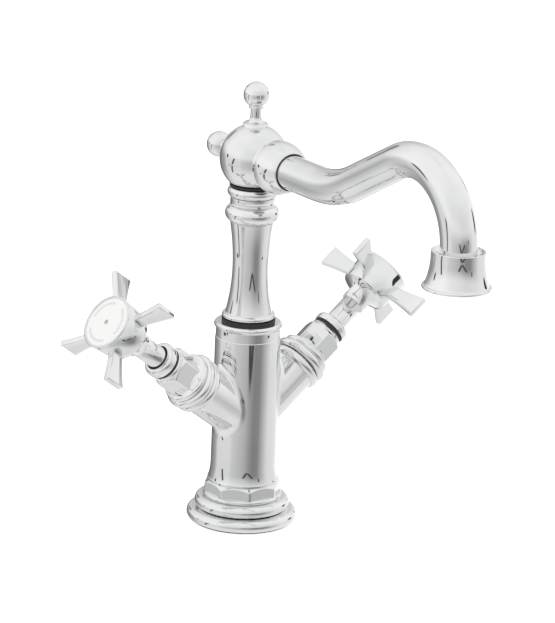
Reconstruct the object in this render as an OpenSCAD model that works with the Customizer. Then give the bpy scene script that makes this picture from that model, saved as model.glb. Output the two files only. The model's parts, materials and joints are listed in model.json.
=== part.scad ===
// Basin mixer tap with a swivel spout and two cross-head valves.
// The frame: +Z is up, the deck under the base is z = 0, and the body's axis is x = y = 0.
// The spout reaches toward -Y, the hot valve leans toward -X and the cold valve toward +X.

/* [Base] */
// Diameter of the lowest bead of the base flange
base_d = 53.4; // [46:0.1:60]
// Thickness of the rubber seal under the base
base_seal_t = 0.4; // [0.3:0.1:1]
// Height of the lowest bead
base_bead_h = 5.8; // [4:0.1:8]
// Diameter of the second bead
step_d = 46; // [42:0.1:50]
// Height of the second bead
step_h = 6; // [4:0.1:7]
// Diameter of the small top ring of the flange
ring_d = 38.4; // [37:0.1:41]
// Height of the small top ring
ring_h = 2.2; // [1.2:0.1:3]
// Width of the octagonal base nut across its flats
nut_flats = 34.8; // [33:0.1:36]
// Height of the base nut
nut_h = 5.8; // [4:0.1:8]
// Angle at which the base nut came tight
nut_turn = -5; // [-22:1:22]

/* [Body] */
// Height of the body's seat for the spout above the deck
body_h = 100; // [92:1:110]
// Diameter of the column just above its foot
column_d = 31.6; // [30:0.1:34]
// Diameter of the column under its band
column_top_d = 31.4; // [29:0.1:33]
// Diameter of the lip at the column's foot
foot_d = 34.4; // [34:0.1:36]
// Diameter of the shank that goes down through the base flange
shank_d = 27.8; // [26:0.1:29]
// Radius of the shank's tenon inside the column
shank_tenon_r = 12; // [11.4:0.1:12.6]
// Length of the shank's tenon
shank_tenon_len = 5; // [3:0.1:7]
// Diameter of the narrow band under the collar
band_d = 30.8; // [30:0.1:31.4]
// Height of the narrow band
band_h = 4.7; // [3:0.1:7]
// Diameter of the rounded collar at the top of the body
collar_d = 32.8; // [32:0.1:35]
// Height of the rounded collar
collar_h = 2.8; // [2:0.1:4]

/* [Supply] */
// Radius of the threaded inlet for each flexible tail
inlet_r = 4.5; // [4:0.1:4.6]
// Depth of each threaded inlet
inlet_depth = 12; // [8:0.5:16]
// Distance of each inlet from the body's axis
inlet_offset = 7.2; // [6.9:0.1:8]
// Radius of the drilled supply ways
way_r = 3.2; // [2.5:0.1:3.4]
// Radius of the threaded hole for the fixing stud
stud_r = 3.4; // [2.5:0.1:3.5]
// Depth of the stud hole
stud_depth = 14; // [10:0.5:20]
// Distance of the stud hole behind the body's axis
stud_offset = 8.4; // [8:0.1:9.5]
// Radius of the mixing chamber
mix_r = 8; // [6:0.1:8.4]

/* [Valve arms] */
// Rise of each valve's axis above the horizontal
valve_rise = 36.4; // [32:0.1:42]
// Height at which the valve axes meet the body's axis
valve_z = 50.1; // [46:0.1:54]
// Diameter of each arm
arm_d = 23.4; // [22:0.1:24.6]
// Length of each arm from the body's axis to its end face
arm_len = 39.5; // [38:0.1:44]
// Diameter of the flange at the arm's end
arm_flange_d = 27.2; // [26:0.1:29]
// Length of the flange at the arm's end
arm_flange_h = 4.5; // [3:0.1:6]
// Radius of the threaded bore for the cartridge
cart_bore_r = 9; // [8.8:0.05:9.4]
// Depth of the threaded bore
cart_bore_depth = 13.5; // [11:0.1:14]
// Radius of the water chamber below the thread
chamber_r = 7.6; // [7.4:0.1:8]
// Distance of the valve seat from the body's axis
seat_at = 16; // [15:0.1:17]

/* [Bonnet] */
// Diameter of the bonnet's large bead
bonnet_d = 28; // [26:0.1:30]
// Height of the large bead
bonnet_bead_h = 4.4; // [3.5:0.1:6]
// Diameter of the bonnet's small bead
bonnet_ring_d = 24.8; // [23:0.1:26]
// Height of the small bead
bonnet_ring_h = 3; // [2:0.1:4]
// Height of the cone that leads up to the hexagon
bonnet_cone_h = 2.3; // [1:0.1:4]
// Width of the bonnet's hexagon across its flats
hex_flats = 18; // [17.4:0.1:19]
// Height of the hexagon with its chamfer
hex_h = 10; // [7:0.1:12]
// Diameter of the neck above the hexagon
bonnet_neck_d = 16.4; // [15.8:0.1:17]
// Height of the neck above the hexagon
bonnet_neck_h = 1.7; // [1:0.1:3]
// Thickness of the dark ring between bonnet and cap
cap_seal_t = 1.9; // [0.5:0.1:2.4]
// Diameter of the round cap
cap_d = 17.2; // [16.4:0.1:18]
// Height of the round cap
cap_h = 4.5; // [4:0.1:6]
// Radius of the cap's rounded shoulder
cap_round = 2.2; // [1:0.1:2.4]

/* [Cartridge] */
// Radius of the spindle
spindle_r = 4; // [3.6:0.1:4.2]
// Radius of the splined end of the spindle
spline_r = 3.6; // [3:0.1:3.7]
// Radius of the ceramic discs
disc_r = 5.3; // [5:0.1:5.4]
// Thickness of each ceramic disc
disc_t = 2.6; // [2:0.1:3]
// Radius of each water port through a disc
port_r = 1.4; // [1:0.1:1.6]
// Turn of the handle from closed to open
valve_turn = 90; // [60:1:90]
// Width of the spindle's stop lug as an angle
lug_angle = 40; // [20:1:60]
// Reach of the stop lug beyond the spindle
lug_reach = 2.2; // [1.5:0.1:2.2]

/* [Cross handles] */
// Diameter of the sleeve round the spindle
sleeve_d = 10.6; // [9.4:0.1:10.8]
// Length of the sleeve between the cap and the hub
sleeve_show = 13.6; // [10:0.1:16]
// Diameter of the hub where the index disc sits
hub_d = 26.8; // [26:0.1:30]
// Length of the hub from its neck to its top face
hub_h = 23.2; // [21:0.1:27]
// Radius of the hub's neck
hub_neck_r = 6.2; // [5.8:0.1:7]
// Length of the hub's neck
hub_neck_h = 6.2; // [4:0.1:7]
// Radius of the hub's shoulder, where its drum starts
shoulder_r = 12.2; // [10:0.1:12.8]
// Height of the steep shoulder between neck and drum
shoulder_h = 2.6; // [1.5:0.1:4]
// Distance from the axis to the tip of each arm
blade_reach = 29.8; // [26:0.1:33]
// Thickness of each arm
blade_t = 3.2; // [2.5:0.1:4.5]
// Width of each arm at its tip
blade_tip_w = 11.6; // [9:0.1:13]
// Width of each arm where it leaves the hub
blade_root_w = 6.8; // [5:0.1:8.5]
// Depth of the arms' middle below the hub's top face
blade_drop = 7.2; // [7:0.1:9]
// Distance from the axis at which the arms' long edges start to curve
blade_root_r = 8.8; // [7.5:0.1:10]
// Number of arms
blade_count = 4; // [3:1:6]
// Radius of the ceramic index disc
index_r = 12.5; // [11:0.1:12.6]
// Thickness of the index disc
index_t = 1.8; // [1.3:0.1:2.5]
// Height of the bezel round the index disc
bezel_h = 0.8; // [0.6:0.1:1.5]
// Angle at which the hot cross stands when closed
hot_cross_angle = 35.3; // [0:0.1:90]
// Angle at which the cold cross stands when closed
cold_cross_angle = -17.8; // [-90:0.1:90]

/* [Pillar] */
// Angle of the spout at rest, from straight ahead
spout_swing = -5.5; // [-60:0.5:60]
// Turn of the spout to each side of straight ahead
swing_limit = 60; // [30:1:80]
// Radius of the spout's stem in the body
stem_r = 10.94; // [10.5:0.01:10.95]
// Length of the stem below the collar's seat
stem_len = 21; // [20:0.1:24]
// Radius of the waterway through stem and pillar
stem_bore_r = 5; // [4:0.1:5.4]
// Thickness of the washer that the spout turns on
swivel_washer_t = 1.8; // [1:0.1:2.4]
// Diameter of the bead at the pillar's foot
pillar_foot_d = 25.8; // [25:0.1:26]
// Height of the bead at the pillar's foot
pillar_foot_h = 2.6; // [2:0.1:4]
// Diameter of the pillar just above its foot
pillar_low_d = 22.6; // [20:0.1:24]
// Diameter of the pillar's waist
waist_d = 17.1; // [15.8:0.1:18]
// Distance from the foot bead up to the waist
waist_rise = 23; // [18:0.1:26]
// Distance from the waist up to the top bead
pillar_rise = 21.9; // [18:0.1:28]
// Diameter of the pillar where it meets the top bead
pillar_high_d = 21; // [19:0.1:22]
// Diameter of the pillar's top bead
pillar_bead_d = 26; // [24:0.1:28]
// Height of the pillar's top bead
pillar_bead_h = 8.4; // [7:0.1:10]
// Diameter of the pillar's neck
pillar_neck_d = 21.4; // [20.6:0.1:23]
// Height of the pillar's neck
pillar_neck_h = 3.7; // [2.5:0.1:5]

/* [Ball head] */
// Diameter of the seat ring under the ball
seat_ring_d = 24.4; // [23.4:0.1:26]
// Height of the seat ring
seat_ring_h = 5.3; // [4:0.1:7]
// Thickness of the dark seal under the ball
head_seal_t = 1; // [0.5:0.1:2]
// Diameter of the ball
ball_d = 32.9; // [32:0.1:36]
// Radius of the tenon under the ball
tenon_r = 8; // [7:0.1:8.2]
// Length of the tenon inside the pillar
tenon_len = 4; // [3:0.1:6]
// Radius of the threaded boss that carries the spout
boss_r = 9.8; // [9.6:0.1:10.2]
// Distance from the ball's centre to the boss's end
boss_len = 26.8; // [26:0.1:27.2]
// Distance from the ball's centre to the back of the spout nut
spout_nut_at = 18.8; // [18.2:0.1:20]
// Diameter of the spout nut where it is widest
spout_nut_d = 25.6; // [25.2:0.1:27]
// Length of the spout nut
spout_nut_len = 13.3; // [13:0.1:13.6]
// Distance from the back of the spout nut to its widest place
spout_nut_belly = 2.2; // [1:0.1:4]
// Radius of the curve along the spout nut
spout_nut_crown = 19; // [18:0.5:30]

/* [Finials] */
// Diameter of each finial's ball
finial_d = 12.4; // [10:0.1:14]
// Distance from the head's centre to a finial's centre
finial_reach = 30.6; // [29:0.1:34]
// Radius of the disc at a finial's foot
finial_foot_r = 5.9; // [5:0.1:7]
// Thickness of the disc at a finial's foot
finial_foot_h = 1.6; // [1:0.1:3]
// Radius of a finial's neck
finial_neck_r = 2.65; // [2.4:0.05:3.2]
// Radius of the small collar under a finial's ball
finial_collar_r = 3.5; // [3.4:0.05:4.4]
// Radius of a finial's threaded stud
finial_stud_r = 2; // [1.5:0.1:2.2]

/* [Spout] */
// Outside diameter of the spout tube
tube_d = 16.6; // [15:0.1:17]
// Wall of the spout tube
tube_wall = 1.2; // [0.8:0.1:2]
// Distance from the body's axis to the first bend
bend_at = 54.5; // [45:0.1:65]
// Radius of the first bend
bend_r = 62.6; // [40:0.1:70]
// Rise of the straight run between the bends
run_rise = 27.6; // [20:0.1:34]
// Radius of the arch
arch_r = 32.4; // [26:0.1:36]
// Reach of the spout from the body's axis to the outlet's axis
spout_reach = 163.6; // [150:0.1:175]
// Length of the straight tube between the arch and its end
tube_drop = 9.3; // [6:0.1:14]

/* [Outlet] */
// Diameter of the outlet bell at its top lip
bell_top_d = 24.2; // [23:0.1:26]
// Diameter of the outlet bell at its rim
bell_rim_d = 31.2; // [29:0.1:34]
// Height of the bell above the tube's end
bell_above = 8.9; // [7:0.1:12]
// Height of the bell below the tube's end
bell_below = 8.1; // [7.6:0.1:10]
// Thickness of the rolled rim
bell_rim_t = 1.6; // [1.2:0.1:3.2]
// Wall of the bell's open top
bell_wall = 1.2; // [0.8:0.1:2]
// Radius of the aerator's housing
aerator_r = 11.3; // [10.5:0.1:11.5]
// Height of the aerator's housing
aerator_h = 5.6; // [4.5:0.1:6]
// Radius of each hole in the aerator insert
aerator_hole_r = 0.8; // [0.5:0.1:1]
// Number of holes in the aerator's outer ring
aerator_holes = 12; // [6:1:14]

/* [Hidden] */
$fn = 96;

// Sides of the two valves, and the clearances that the fits share.
hot = -1;
cold = 1;
run_gap = 0.06; // radial clearance where a shaft turns in its bore
slide_gap = 0.3; // clearance where a moving piece passes a fixed one
seat_gap = 0.1; // clearance between faces that turn on each other
fit_gap = 0.02; // clearance between pieces that are screwed together
cut = 1; // how far a cutting tool runs past the face that it opens

// Levels of the base and body, from the deck upward.
shank_z = 0; // the shank ends level with the underside of the seal
base_seal_inset = 2.4;
flange_z = base_seal_t;
step_z = flange_z + base_bead_h;
ring_z = step_z + step_h;
nut_z = ring_z + ring_h;
foot_z = nut_z + nut_h;
nut_corner_r = nut_flats / 2 / cos(22.5);
nut_chamfer = 1.8;
shank_r = shank_d / 2;
shank_top = foot_z + shank_tenon_len;
foot_lip = 1;
foot_ledge = 0.3;
foot_cove_h = 8.3;
collar_z = body_h - collar_h;
band_z = collar_z - band_h;
stem_bore = stem_r + run_gap;
stem_z = body_h - stem_len;
mix_rise = 13.9;
mix_z = valve_z + mix_rise;
cross_way_rise = 17.9;
cross_way_z = valve_z + cross_way_rise;
cross_way_r = 2.5;
cross_way_len = 16;
seat_way_from = inlet_offset / cos(valve_rise) - way_r;

// Groove, screw and rings that hold the stem in the body.
stop_drop = 11.5;
stop_z = body_h - stop_drop;
stop_screw_r = 2;
stop_shank_len = 3.6;
stop_key_r = 1.15;
stop_key_depth = 2;
stop_tip_r = 1.5;
stop_slot_half = stop_tip_r + slide_gap;
stop_slot_depth = 1.8;
o_ring_r = 1;
o_ring_drops = [4.5, 17.5];

// Levels of the pillar and the ball head.
pillar_z = body_h + swivel_washer_t + seat_gap;
pillar_low_z = pillar_z + pillar_foot_h;
waist_z = pillar_low_z + waist_rise;
pillar_bead_z = waist_z + pillar_rise;
pillar_neck_z = pillar_bead_z + pillar_bead_h;
seat_ring_z = pillar_neck_z + pillar_neck_h;
head_seal_z = seat_ring_z + seat_ring_h;
ball_flat_z = head_seal_z + head_seal_t;
ball_r = ball_d / 2;
ball_flat_r = 10.7;
ball_z = ball_flat_z + sqrt(ball_r * ball_r - ball_flat_r * ball_flat_r);
stem_socket_r = 7;
stem_socket_len = 12;

// Places along the spout, from the ball's centre.
tube_r = tube_d / 2;
tube_bore_r = tube_r - tube_wall;
tube_from = 15;
ferrule_at = boss_len + seat_gap;
ferrule_t = 2.2;
nut_shoulder_at = ferrule_at + ferrule_t + seat_gap;
nut_to = spout_nut_at + spout_nut_len;
nut_mouth_gap = 0.6;
nut_mouth_r = tube_r + nut_mouth_gap;
nut_seal_t = 1.2;
nut_seal_sink = 0.4;

// Finials: one on top of the ball, one behind it, opposite the spout.
finial_stud_at = 9.5;
finial_foot_at = sqrt(ball_r * ball_r - finial_foot_r * finial_foot_r);
finial_foot_top = finial_foot_at + finial_foot_h;
finial_cove_in = 0.3;
finial_ledge = 0.2;
finial_collar_h = 2;
finial_collar_drop = 0.7;
finial_collar_at = finial_reach - finial_d / 2 - finial_collar_drop;

// The spout's route in its own upright plane: out, up the run, over the arch and down.
run_from_x = bend_at + bend_r * sin(run_rise);
run_from_z = bend_r * (1 - cos(run_rise));
arch_x = spout_reach - arch_r;
run_to_x = arch_x - arch_r * sin(run_rise);
run_len = (run_to_x - run_from_x) / cos(run_rise);
arch_z = run_from_z + run_len * sin(run_rise) - arch_r * cos(run_rise);
tube_end_z = arch_z - tube_drop;
lap = 0.02; // how much thinner a straight run is on each side than the bend that it laps into
lap_len = 0.2;

// Levels of the outlet, from the ball's centre upward.
bell_top_z = tube_end_z + bell_above;
bell_rim_z = tube_end_z - bell_below;
bell_web_h = 3.5;
bell_straight_h = 2.6;
aerator_washer_t = 1.2;
aerator_z = tube_end_z - aerator_washer_t - aerator_h;
insert_wall = 2;
insert_r = aerator_r - insert_wall;
insert_h = 3.3;
insert_lift = 0.8;
insert_lip = 0.8;
insert_rings = [[0, 1], [3.5, 6], [7, aerator_holes]]; // radius and number of holes

// Places along a valve's axis, from the body's axis outward.
arm_r = arm_d / 2;
cart_bore_at = arm_len - cart_bore_depth;
cart_r = cart_bore_r - fit_gap;
cart_flange_r = 10.5;
cart_flange_t = 2.3;
cart_neck_r = 7;
cart_nose_gap = 0.6;
cart_nose_r = chamber_r - cart_nose_gap;
disc_bore_r = disc_r + slide_gap;
seat_seal_t = 1;
seat_seal_inset = 0.6;
port_offset = 2.75;
fixed_disc_at = seat_at + seat_seal_t;
turning_disc_at = fixed_disc_at + disc_t + fit_gap;
spindle_at = turning_disc_at + disc_t + fit_gap;
driver_t = 2;
lug_lift = 0.6;
lug_at = cart_bore_at + lug_lift;
lug_t = 2.3;
lug_slack = 2;
window_r = 1.6;
bonnet_at = arm_len + slide_gap;
bonnet_ring_at = bonnet_at + bonnet_bead_h;
bonnet_cone_at = bonnet_ring_at + bonnet_ring_h;
hex_at = bonnet_cone_at + bonnet_cone_h;
hex_corner_r = hex_flats / 2 / cos(30);
hex_chamfer = 1.6;
cone_overrun = 0.4; // the cone ends this far inside the hexagon
bonnet_neck_at = hex_at + hex_h;
cap_seal_at = bonnet_neck_at + bonnet_neck_h;
cap_at = cap_seal_at + cap_seal_t;
cap_top = cap_at + cap_h;
cart_top = cap_at - 2 * seat_gap;
cap_seal_inset = 0.1;
gland_t = 1.2;
gland_seat_t = 0.8;
gland_wall = 0.9;
sleeve_r = sleeve_d / 2;
gland_r = sleeve_r + gland_wall;
sleeve_bore_r = spline_r + run_gap;
sleeve_dip = 3.6;
sleeve_at = cap_top - sleeve_dip;
hub_at = cap_top + sleeve_show;
hub_top = hub_at + hub_h;
hub_r = hub_d / 2;
spline_grip = 5.5;
spindle_top = hub_at + spline_grip;
index_sink = 1.2;
index_at = hub_top - index_sink;
screw_head_r = 3.6;
screw_head_t = 2.4;
screw_head_gap = 0.4;
screw_seat_at = index_at - screw_head_t - screw_head_gap;
screw_r = 1.6;
screw_grip = 3.5;
screw_len = screw_seat_at - spindle_top + screw_grip;
screw_hole_depth = 9;
screw_slot_w = 1;
blade_at = hub_top - blade_drop;

// Half-round bead: a ring whose edge is a half circle, as tall as the ring.
module bead_profile(outer_r, low, height) {
    edge_r = height / 2;
    translate([0, low]) square([outer_r - edge_r, height]);
    translate([outer_r - edge_r, low + edge_r]) circle(r = edge_r);
}

module ring(outer_r, inner_r, low, height) {
    difference() {
        translate([0, 0, low]) cylinder(r = outer_r, h = height);
        translate([0, 0, low - cut]) cylinder(r = inner_r, h = height + 2 * cut);
    }
}

module bore(radius, low, height) {
    translate([0, 0, low]) cylinder(r = radius, h = height);
}

// Stands a piece on a valve's axis. The cold side is the mirror image of the hot side.
module on_valve(side) {
    translate([0, 0, valve_z])
        rotate([0, side * (90 - valve_rise), 0])
            mirror([0, side > 0 ? 1 : 0, 0])
                children();
}

// Turns a piece drawn with the spout toward +X to the spout's place at rest.
module on_spout() {
    rotate([0, 0, spout_swing - 90]) children();
}

// Lays a piece drawn along +Z out along the spout, from the ball's centre.
module along_spout() {
    on_spout() translate([0, 0, ball_z]) rotate([0, 90, 0]) children();
}

module base_seal() {
    color([0.12, 0.12, 0.12]) ring(base_d / 2 - base_seal_inset, shank_r + slide_gap, 0, base_seal_t);
}

module base_flange() {
    color([0.88, 0.88, 0.9]) difference() {
        rotate_extrude() {
            bead_profile(base_d / 2, flange_z, base_bead_h);
            bead_profile(step_d / 2, step_z, step_h);
            bead_profile(ring_d / 2, ring_z, ring_h);
        }
        bore(shank_r + fit_gap, flange_z - cut, nut_z - flange_z + 2 * cut);
    }
}

module base_nut() {
    chamfer_r = nut_corner_r - nut_chamfer;
    color([0.86, 0.86, 0.88]) difference() {
        intersection() {
            rotate([0, 0, 22.5 + nut_turn])
                translate([0, 0, nut_z]) cylinder(r = nut_corner_r, h = nut_h, $fn = 8);
            translate([0, 0, nut_z]) cylinder(r1 = chamfer_r + nut_h, r2 = chamfer_r, h = nut_h);
        }
        bore(shank_r + fit_gap, nut_z - cut, nut_h + 2 * cut);
    }
}

// Outline of the turned column: foot lip, cove, tapered shaft, narrow band and rounded collar.
module column_profile() {
    column_r = column_d / 2;
    lip_r = foot_d / 2;
    cove_z = foot_z + foot_lip;
    cove_in = lip_r - foot_ledge - column_r;
    cove_r = (foot_cove_h * foot_cove_h + cove_in * cove_in) / (2 * cove_in);
    shaft_z = cove_z + foot_cove_h;
    difference() {
        translate([0, foot_z]) square([lip_r, foot_lip + foot_cove_h]);
        intersection() {
            translate([column_r + cove_r, shaft_z]) circle(r = cove_r, $fn = 360);
            translate([column_r, cove_z]) square([cove_in + cut, foot_cove_h + cut]);
        }
    }
    polygon([[0, shaft_z], [column_r, shaft_z], [column_top_d / 2, band_z], [0, band_z]]);
    translate([0, band_z - cut]) square([band_d / 2, band_h + cut + collar_h / 2]);
    bead_profile(collar_d / 2, collar_z, collar_h);
}

// One arm of the body, with a rounded flange at its end.
module valve_arm() {
    cylinder(r = arm_r, h = arm_len - arm_flange_h / 2);
    rotate_extrude() bead_profile(arm_flange_d / 2, arm_len - arm_flange_h, arm_flange_h);
}

module valve_arm_bores() {
    bore(cart_bore_r, cart_bore_at, cart_bore_depth + cut);
    bore(chamber_r, seat_at, cart_bore_depth);
    bore(way_r, seat_way_from, seat_at);
}

// Threaded shank under the body: it goes down through the base and carries the supply ways.
module body_shank() {
    color([0.8, 0.68, 0.4]) difference() {
        union() {
            bore(shank_r, shank_z, foot_z - shank_z);
            bore(shank_tenon_r, shank_z, shank_top - shank_z);
        }
        for (side = [hot, cold])
            translate([side * inlet_offset, 0, 0]) {
                bore(inlet_r, shank_z - cut, inlet_depth + cut);
                bore(way_r, shank_z, shank_top - shank_z + cut);
            }
        translate([0, stud_offset, 0]) bore(stud_r, shank_z - cut, stud_depth + cut);
    }
}

module mixer_body() {
    way_top_z = valve_z + inlet_offset * tan(valve_rise);
    color([0.88, 0.88, 0.9]) difference() {
        union() {
            rotate_extrude() column_profile();
            for (side = [hot, cold]) on_valve(side) valve_arm();
        }
        for (side = [hot, cold]) {
            on_valve(side) valve_arm_bores();
            translate([side * inlet_offset, 0, 0]) bore(way_r, foot_z, way_top_z - foot_z);
            translate([0, 0, cross_way_z])
                rotate([0, side * 90, 0]) cylinder(r = cross_way_r, h = cross_way_len);
        }
        bore(shank_tenon_r + fit_gap, foot_z - cut, shank_tenon_len + fit_gap + cut);
        bore(mix_r, mix_z, body_h - mix_z);
        bore(stem_bore, stem_z - slide_gap, stem_len + slide_gap + cut);
        translate([0, 0, stop_z]) rotate([-90, 0, 0]) cylinder(r = stop_screw_r, h = collar_d);
    }
}

// Set screw at the back of the body: its tip runs in the stem's groove.
module spout_stop_screw() {
    shank_from = stem_bore + slide_gap;
    tip_from = stem_r - stop_slot_depth + slide_gap;
    color([0.6, 0.6, 0.62]) translate([0, 0, stop_z]) rotate([-90, 0, 0]) difference() {
        union() {
            bore(stop_screw_r - fit_gap, shank_from, stop_shank_len);
            bore(stop_tip_r, tip_from, shank_from - tip_from + 1);
        }
        translate([0, 0, shank_from + stop_shank_len - stop_key_depth])
            cylinder(r = stop_key_r, h = stop_key_depth + cut, $fn = 6);
    }
}

module swivel_washer() {
    color([0.1, 0.1, 0.1])
        ring(pillar_foot_d / 2, stem_bore + slide_gap, body_h, swivel_washer_t);
}

// The groove ends either side of the stop screw set how far the spout swings.
module swivel_stem() {
    groove_r = stem_r - 2 * o_ring_r;
    slot_angle = 2 * swing_limit + 2 * asin(stop_slot_half / (stem_r - stop_slot_depth));
    color([0.8, 0.68, 0.4]) difference() {
        union() {
            bore(stem_r, stem_z, pillar_z - stem_z);
            bore(stem_socket_r, pillar_z, stem_socket_len);
        }
        bore(stem_bore_r, stem_z - cut, stem_len + stem_socket_len + 3 * cut + pillar_z - body_h);
        for (drop = o_ring_drops)
            ring(stem_r + cut, groove_r, body_h - drop - o_ring_r, 2 * o_ring_r);
        translate([0, 0, stop_z - stop_slot_half])
            rotate([0, 0, 90 + spout_swing - slot_angle / 2])
                rotate_extrude(angle = slot_angle)
                    translate([stem_r - stop_slot_depth, 0])
                        square([stop_slot_depth + cut, 2 * stop_slot_half]);
    }
}

module stem_o_rings() {
    color([0.08, 0.08, 0.08])
        for (drop = o_ring_drops)
            translate([0, 0, body_h - drop])
                rotate_extrude() translate([stem_r - o_ring_r, 0]) circle(r = o_ring_r - fit_gap);
}

// Curved side of the pillar from its waist to one end, hollowed by a circle of cove_r.
module waist_profile(end_r, rise, up) {
    waist_r = waist_d / 2;
    flare = end_r - waist_r;
    cove_r = (rise * rise + flare * flare) / (2 * flare);
    difference() {
        translate([0, up ? waist_z : waist_z - rise]) square([end_r, rise]);
        translate([waist_r + cove_r, waist_z]) circle(r = cove_r, $fn = 720);
    }
}

module pillar() {
    color([0.88, 0.88, 0.9]) difference() {
        rotate_extrude() {
            bead_profile(pillar_foot_d / 2, pillar_z, pillar_foot_h);
            waist_profile(pillar_low_d / 2, waist_rise, false);
            waist_profile(pillar_high_d / 2, pillar_rise, true);
            bead_profile(pillar_bead_d / 2, pillar_bead_z, pillar_bead_h);
            translate([0, pillar_neck_z - 1]) square([pillar_neck_d / 2, pillar_neck_h + 1]);
        }
        bore(stem_bore_r, pillar_z - cut, seat_ring_z - pillar_z + 2 * cut);
        bore(stem_socket_r + fit_gap, pillar_z - cut, stem_socket_len + fit_gap + cut);
        bore(tenon_r + fit_gap, seat_ring_z - tenon_len - fit_gap, tenon_len + cut);
    }
}

module head_seat_ring() {
    color([0.88, 0.88, 0.9]) difference() {
        rotate_extrude() bead_profile(seat_ring_d / 2, seat_ring_z, seat_ring_h);
        bore(tenon_r + fit_gap, seat_ring_z - cut, seat_ring_h + 2 * cut);
    }
}

module head_seal() {
    color([0.08, 0.08, 0.08]) ring(ball_flat_r + 0.6, tenon_r + fit_gap, head_seal_z, head_seal_t);
}

module ball_head() {
    tenon_z = seat_ring_z - tenon_len;
    color([0.88, 0.88, 0.9]) difference() {
        union() {
            intersection() {
                translate([0, 0, ball_z]) sphere(r = ball_r);
                translate([-ball_d / 2, -ball_d / 2, ball_flat_z]) cube(ball_d);
            }
            bore(tenon_r, tenon_z, ball_flat_z - tenon_z + cut);
            along_spout() cylinder(r = boss_r, h = boss_len);
        }
        bore(stem_bore_r, tenon_z - cut, ball_z - tenon_z + cut);
        along_spout() {
            cylinder(r = tube_bore_r, h = ball_d);
            bore(tube_r + fit_gap, tube_from - fit_gap, ball_d);
        }
        for (tilt = [0, 1]) on_finial(tilt) bore(finial_stud_r + fit_gap, finial_stud_at, ball_r);
    }
}

// Stands a finial on the ball, tilted from straight up to straight back.
module on_finial(tilt) {
    on_spout() translate([0, 0, ball_z]) rotate([0, -90 * tilt, 0]) children();
}

// Finial: a foot disc, a hollow neck, a small collar and a ball.
module finial() {
    cove_r = finial_foot_r - finial_cove_in - finial_neck_r;
    cove_z = finial_foot_top + finial_ledge + cove_r;
    color([0.88, 0.88, 0.9]) {
        rotate_extrude() difference() {
            union() {
                translate([0, finial_foot_at - 1]) square([finial_foot_r, finial_foot_h + 1]);
                difference() {
                    translate([0, finial_foot_at])
                        square([finial_neck_r + cove_r, cove_z - finial_foot_at]);
                    translate([finial_neck_r + cove_r, cove_z]) circle(r = cove_r);
                }
                translate([0, finial_foot_at])
                    square([finial_neck_r, finial_collar_at + finial_collar_h / 2 - finial_foot_at]);
                bead_profile(finial_collar_r, finial_collar_at, finial_collar_h);
            }
            circle(r = ball_r + fit_gap, $fn = 360);
        }
        bore(finial_stud_r, finial_stud_at, finial_collar_at - finial_stud_at);
        translate([0, 0, finial_reach]) sphere(r = finial_d / 2);
    }
}

// Domed round nut that holds the spout: its side is one long curve.
module spout_nut() {
    nut_r = spout_nut_d / 2;
    color([0.88, 0.88, 0.9]) along_spout() difference() {
        rotate_extrude() intersection() {
            translate([0, spout_nut_at]) square([nut_r + cut, spout_nut_len]);
            translate([nut_r - spout_nut_crown, spout_nut_at + spout_nut_belly])
                circle(r = spout_nut_crown, $fn = 360);
        }
        bore(boss_r + fit_gap, spout_nut_at - cut, nut_shoulder_at - spout_nut_at + cut);
        bore(nut_mouth_r, spout_nut_at, spout_nut_len + cut);
    }
}

module spout_nut_seal() {
    color([0.08, 0.08, 0.08]) along_spout()
        ring(nut_mouth_r - fit_gap, tube_r + fit_gap, nut_to - nut_seal_sink - nut_seal_t, nut_seal_t);
}

module tube_ferrule() {
    color([0.8, 0.68, 0.4]) along_spout()
        ring(boss_r - slide_gap, tube_r + fit_gap, ferrule_at, ferrule_t);
}

module tube_section(thinner) {
    difference() {
        circle(r = tube_r - thinner);
        circle(r = tube_bore_r + thinner);
    }
}

// Straight run of tube along +Z that laps a little into the bend at either end.
module tube_run(length, lap_before, lap_after) {
    translate([0, 0, -lap_before])
        linear_extrude(height = length + lap_before + lap_after) tube_section(lap);
}

// The tube in the plane of the spout: straight runs and bends, joined end to end.
module spout_tube() {
    color([0.88, 0.88, 0.9]) on_spout() translate([0, 0, ball_z]) {
        translate([tube_from, 0, 0]) rotate([0, 90, 0])
            tube_run(bend_at - tube_from, 0, lap_len);
        translate([bend_at, 0, bend_r]) rotate([90, 0, 0]) rotate([0, 0, -90])
            rotate_extrude(angle = run_rise) translate([bend_r, 0]) tube_section(0);
        translate([run_from_x, 0, run_from_z]) rotate([0, 90 - run_rise, 0])
            tube_run(run_len, lap_len, lap_len);
        translate([arch_x, 0, arch_z]) rotate([90, 0, 0])
            rotate_extrude(angle = 90 + run_rise) translate([arch_r, 0]) tube_section(0);
        translate([spout_reach, 0, tube_end_z]) tube_run(tube_drop, 0, lap_len);
    }
}

module at_outlet() {
    on_spout() translate([spout_reach, 0, ball_z]) children();
}

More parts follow.
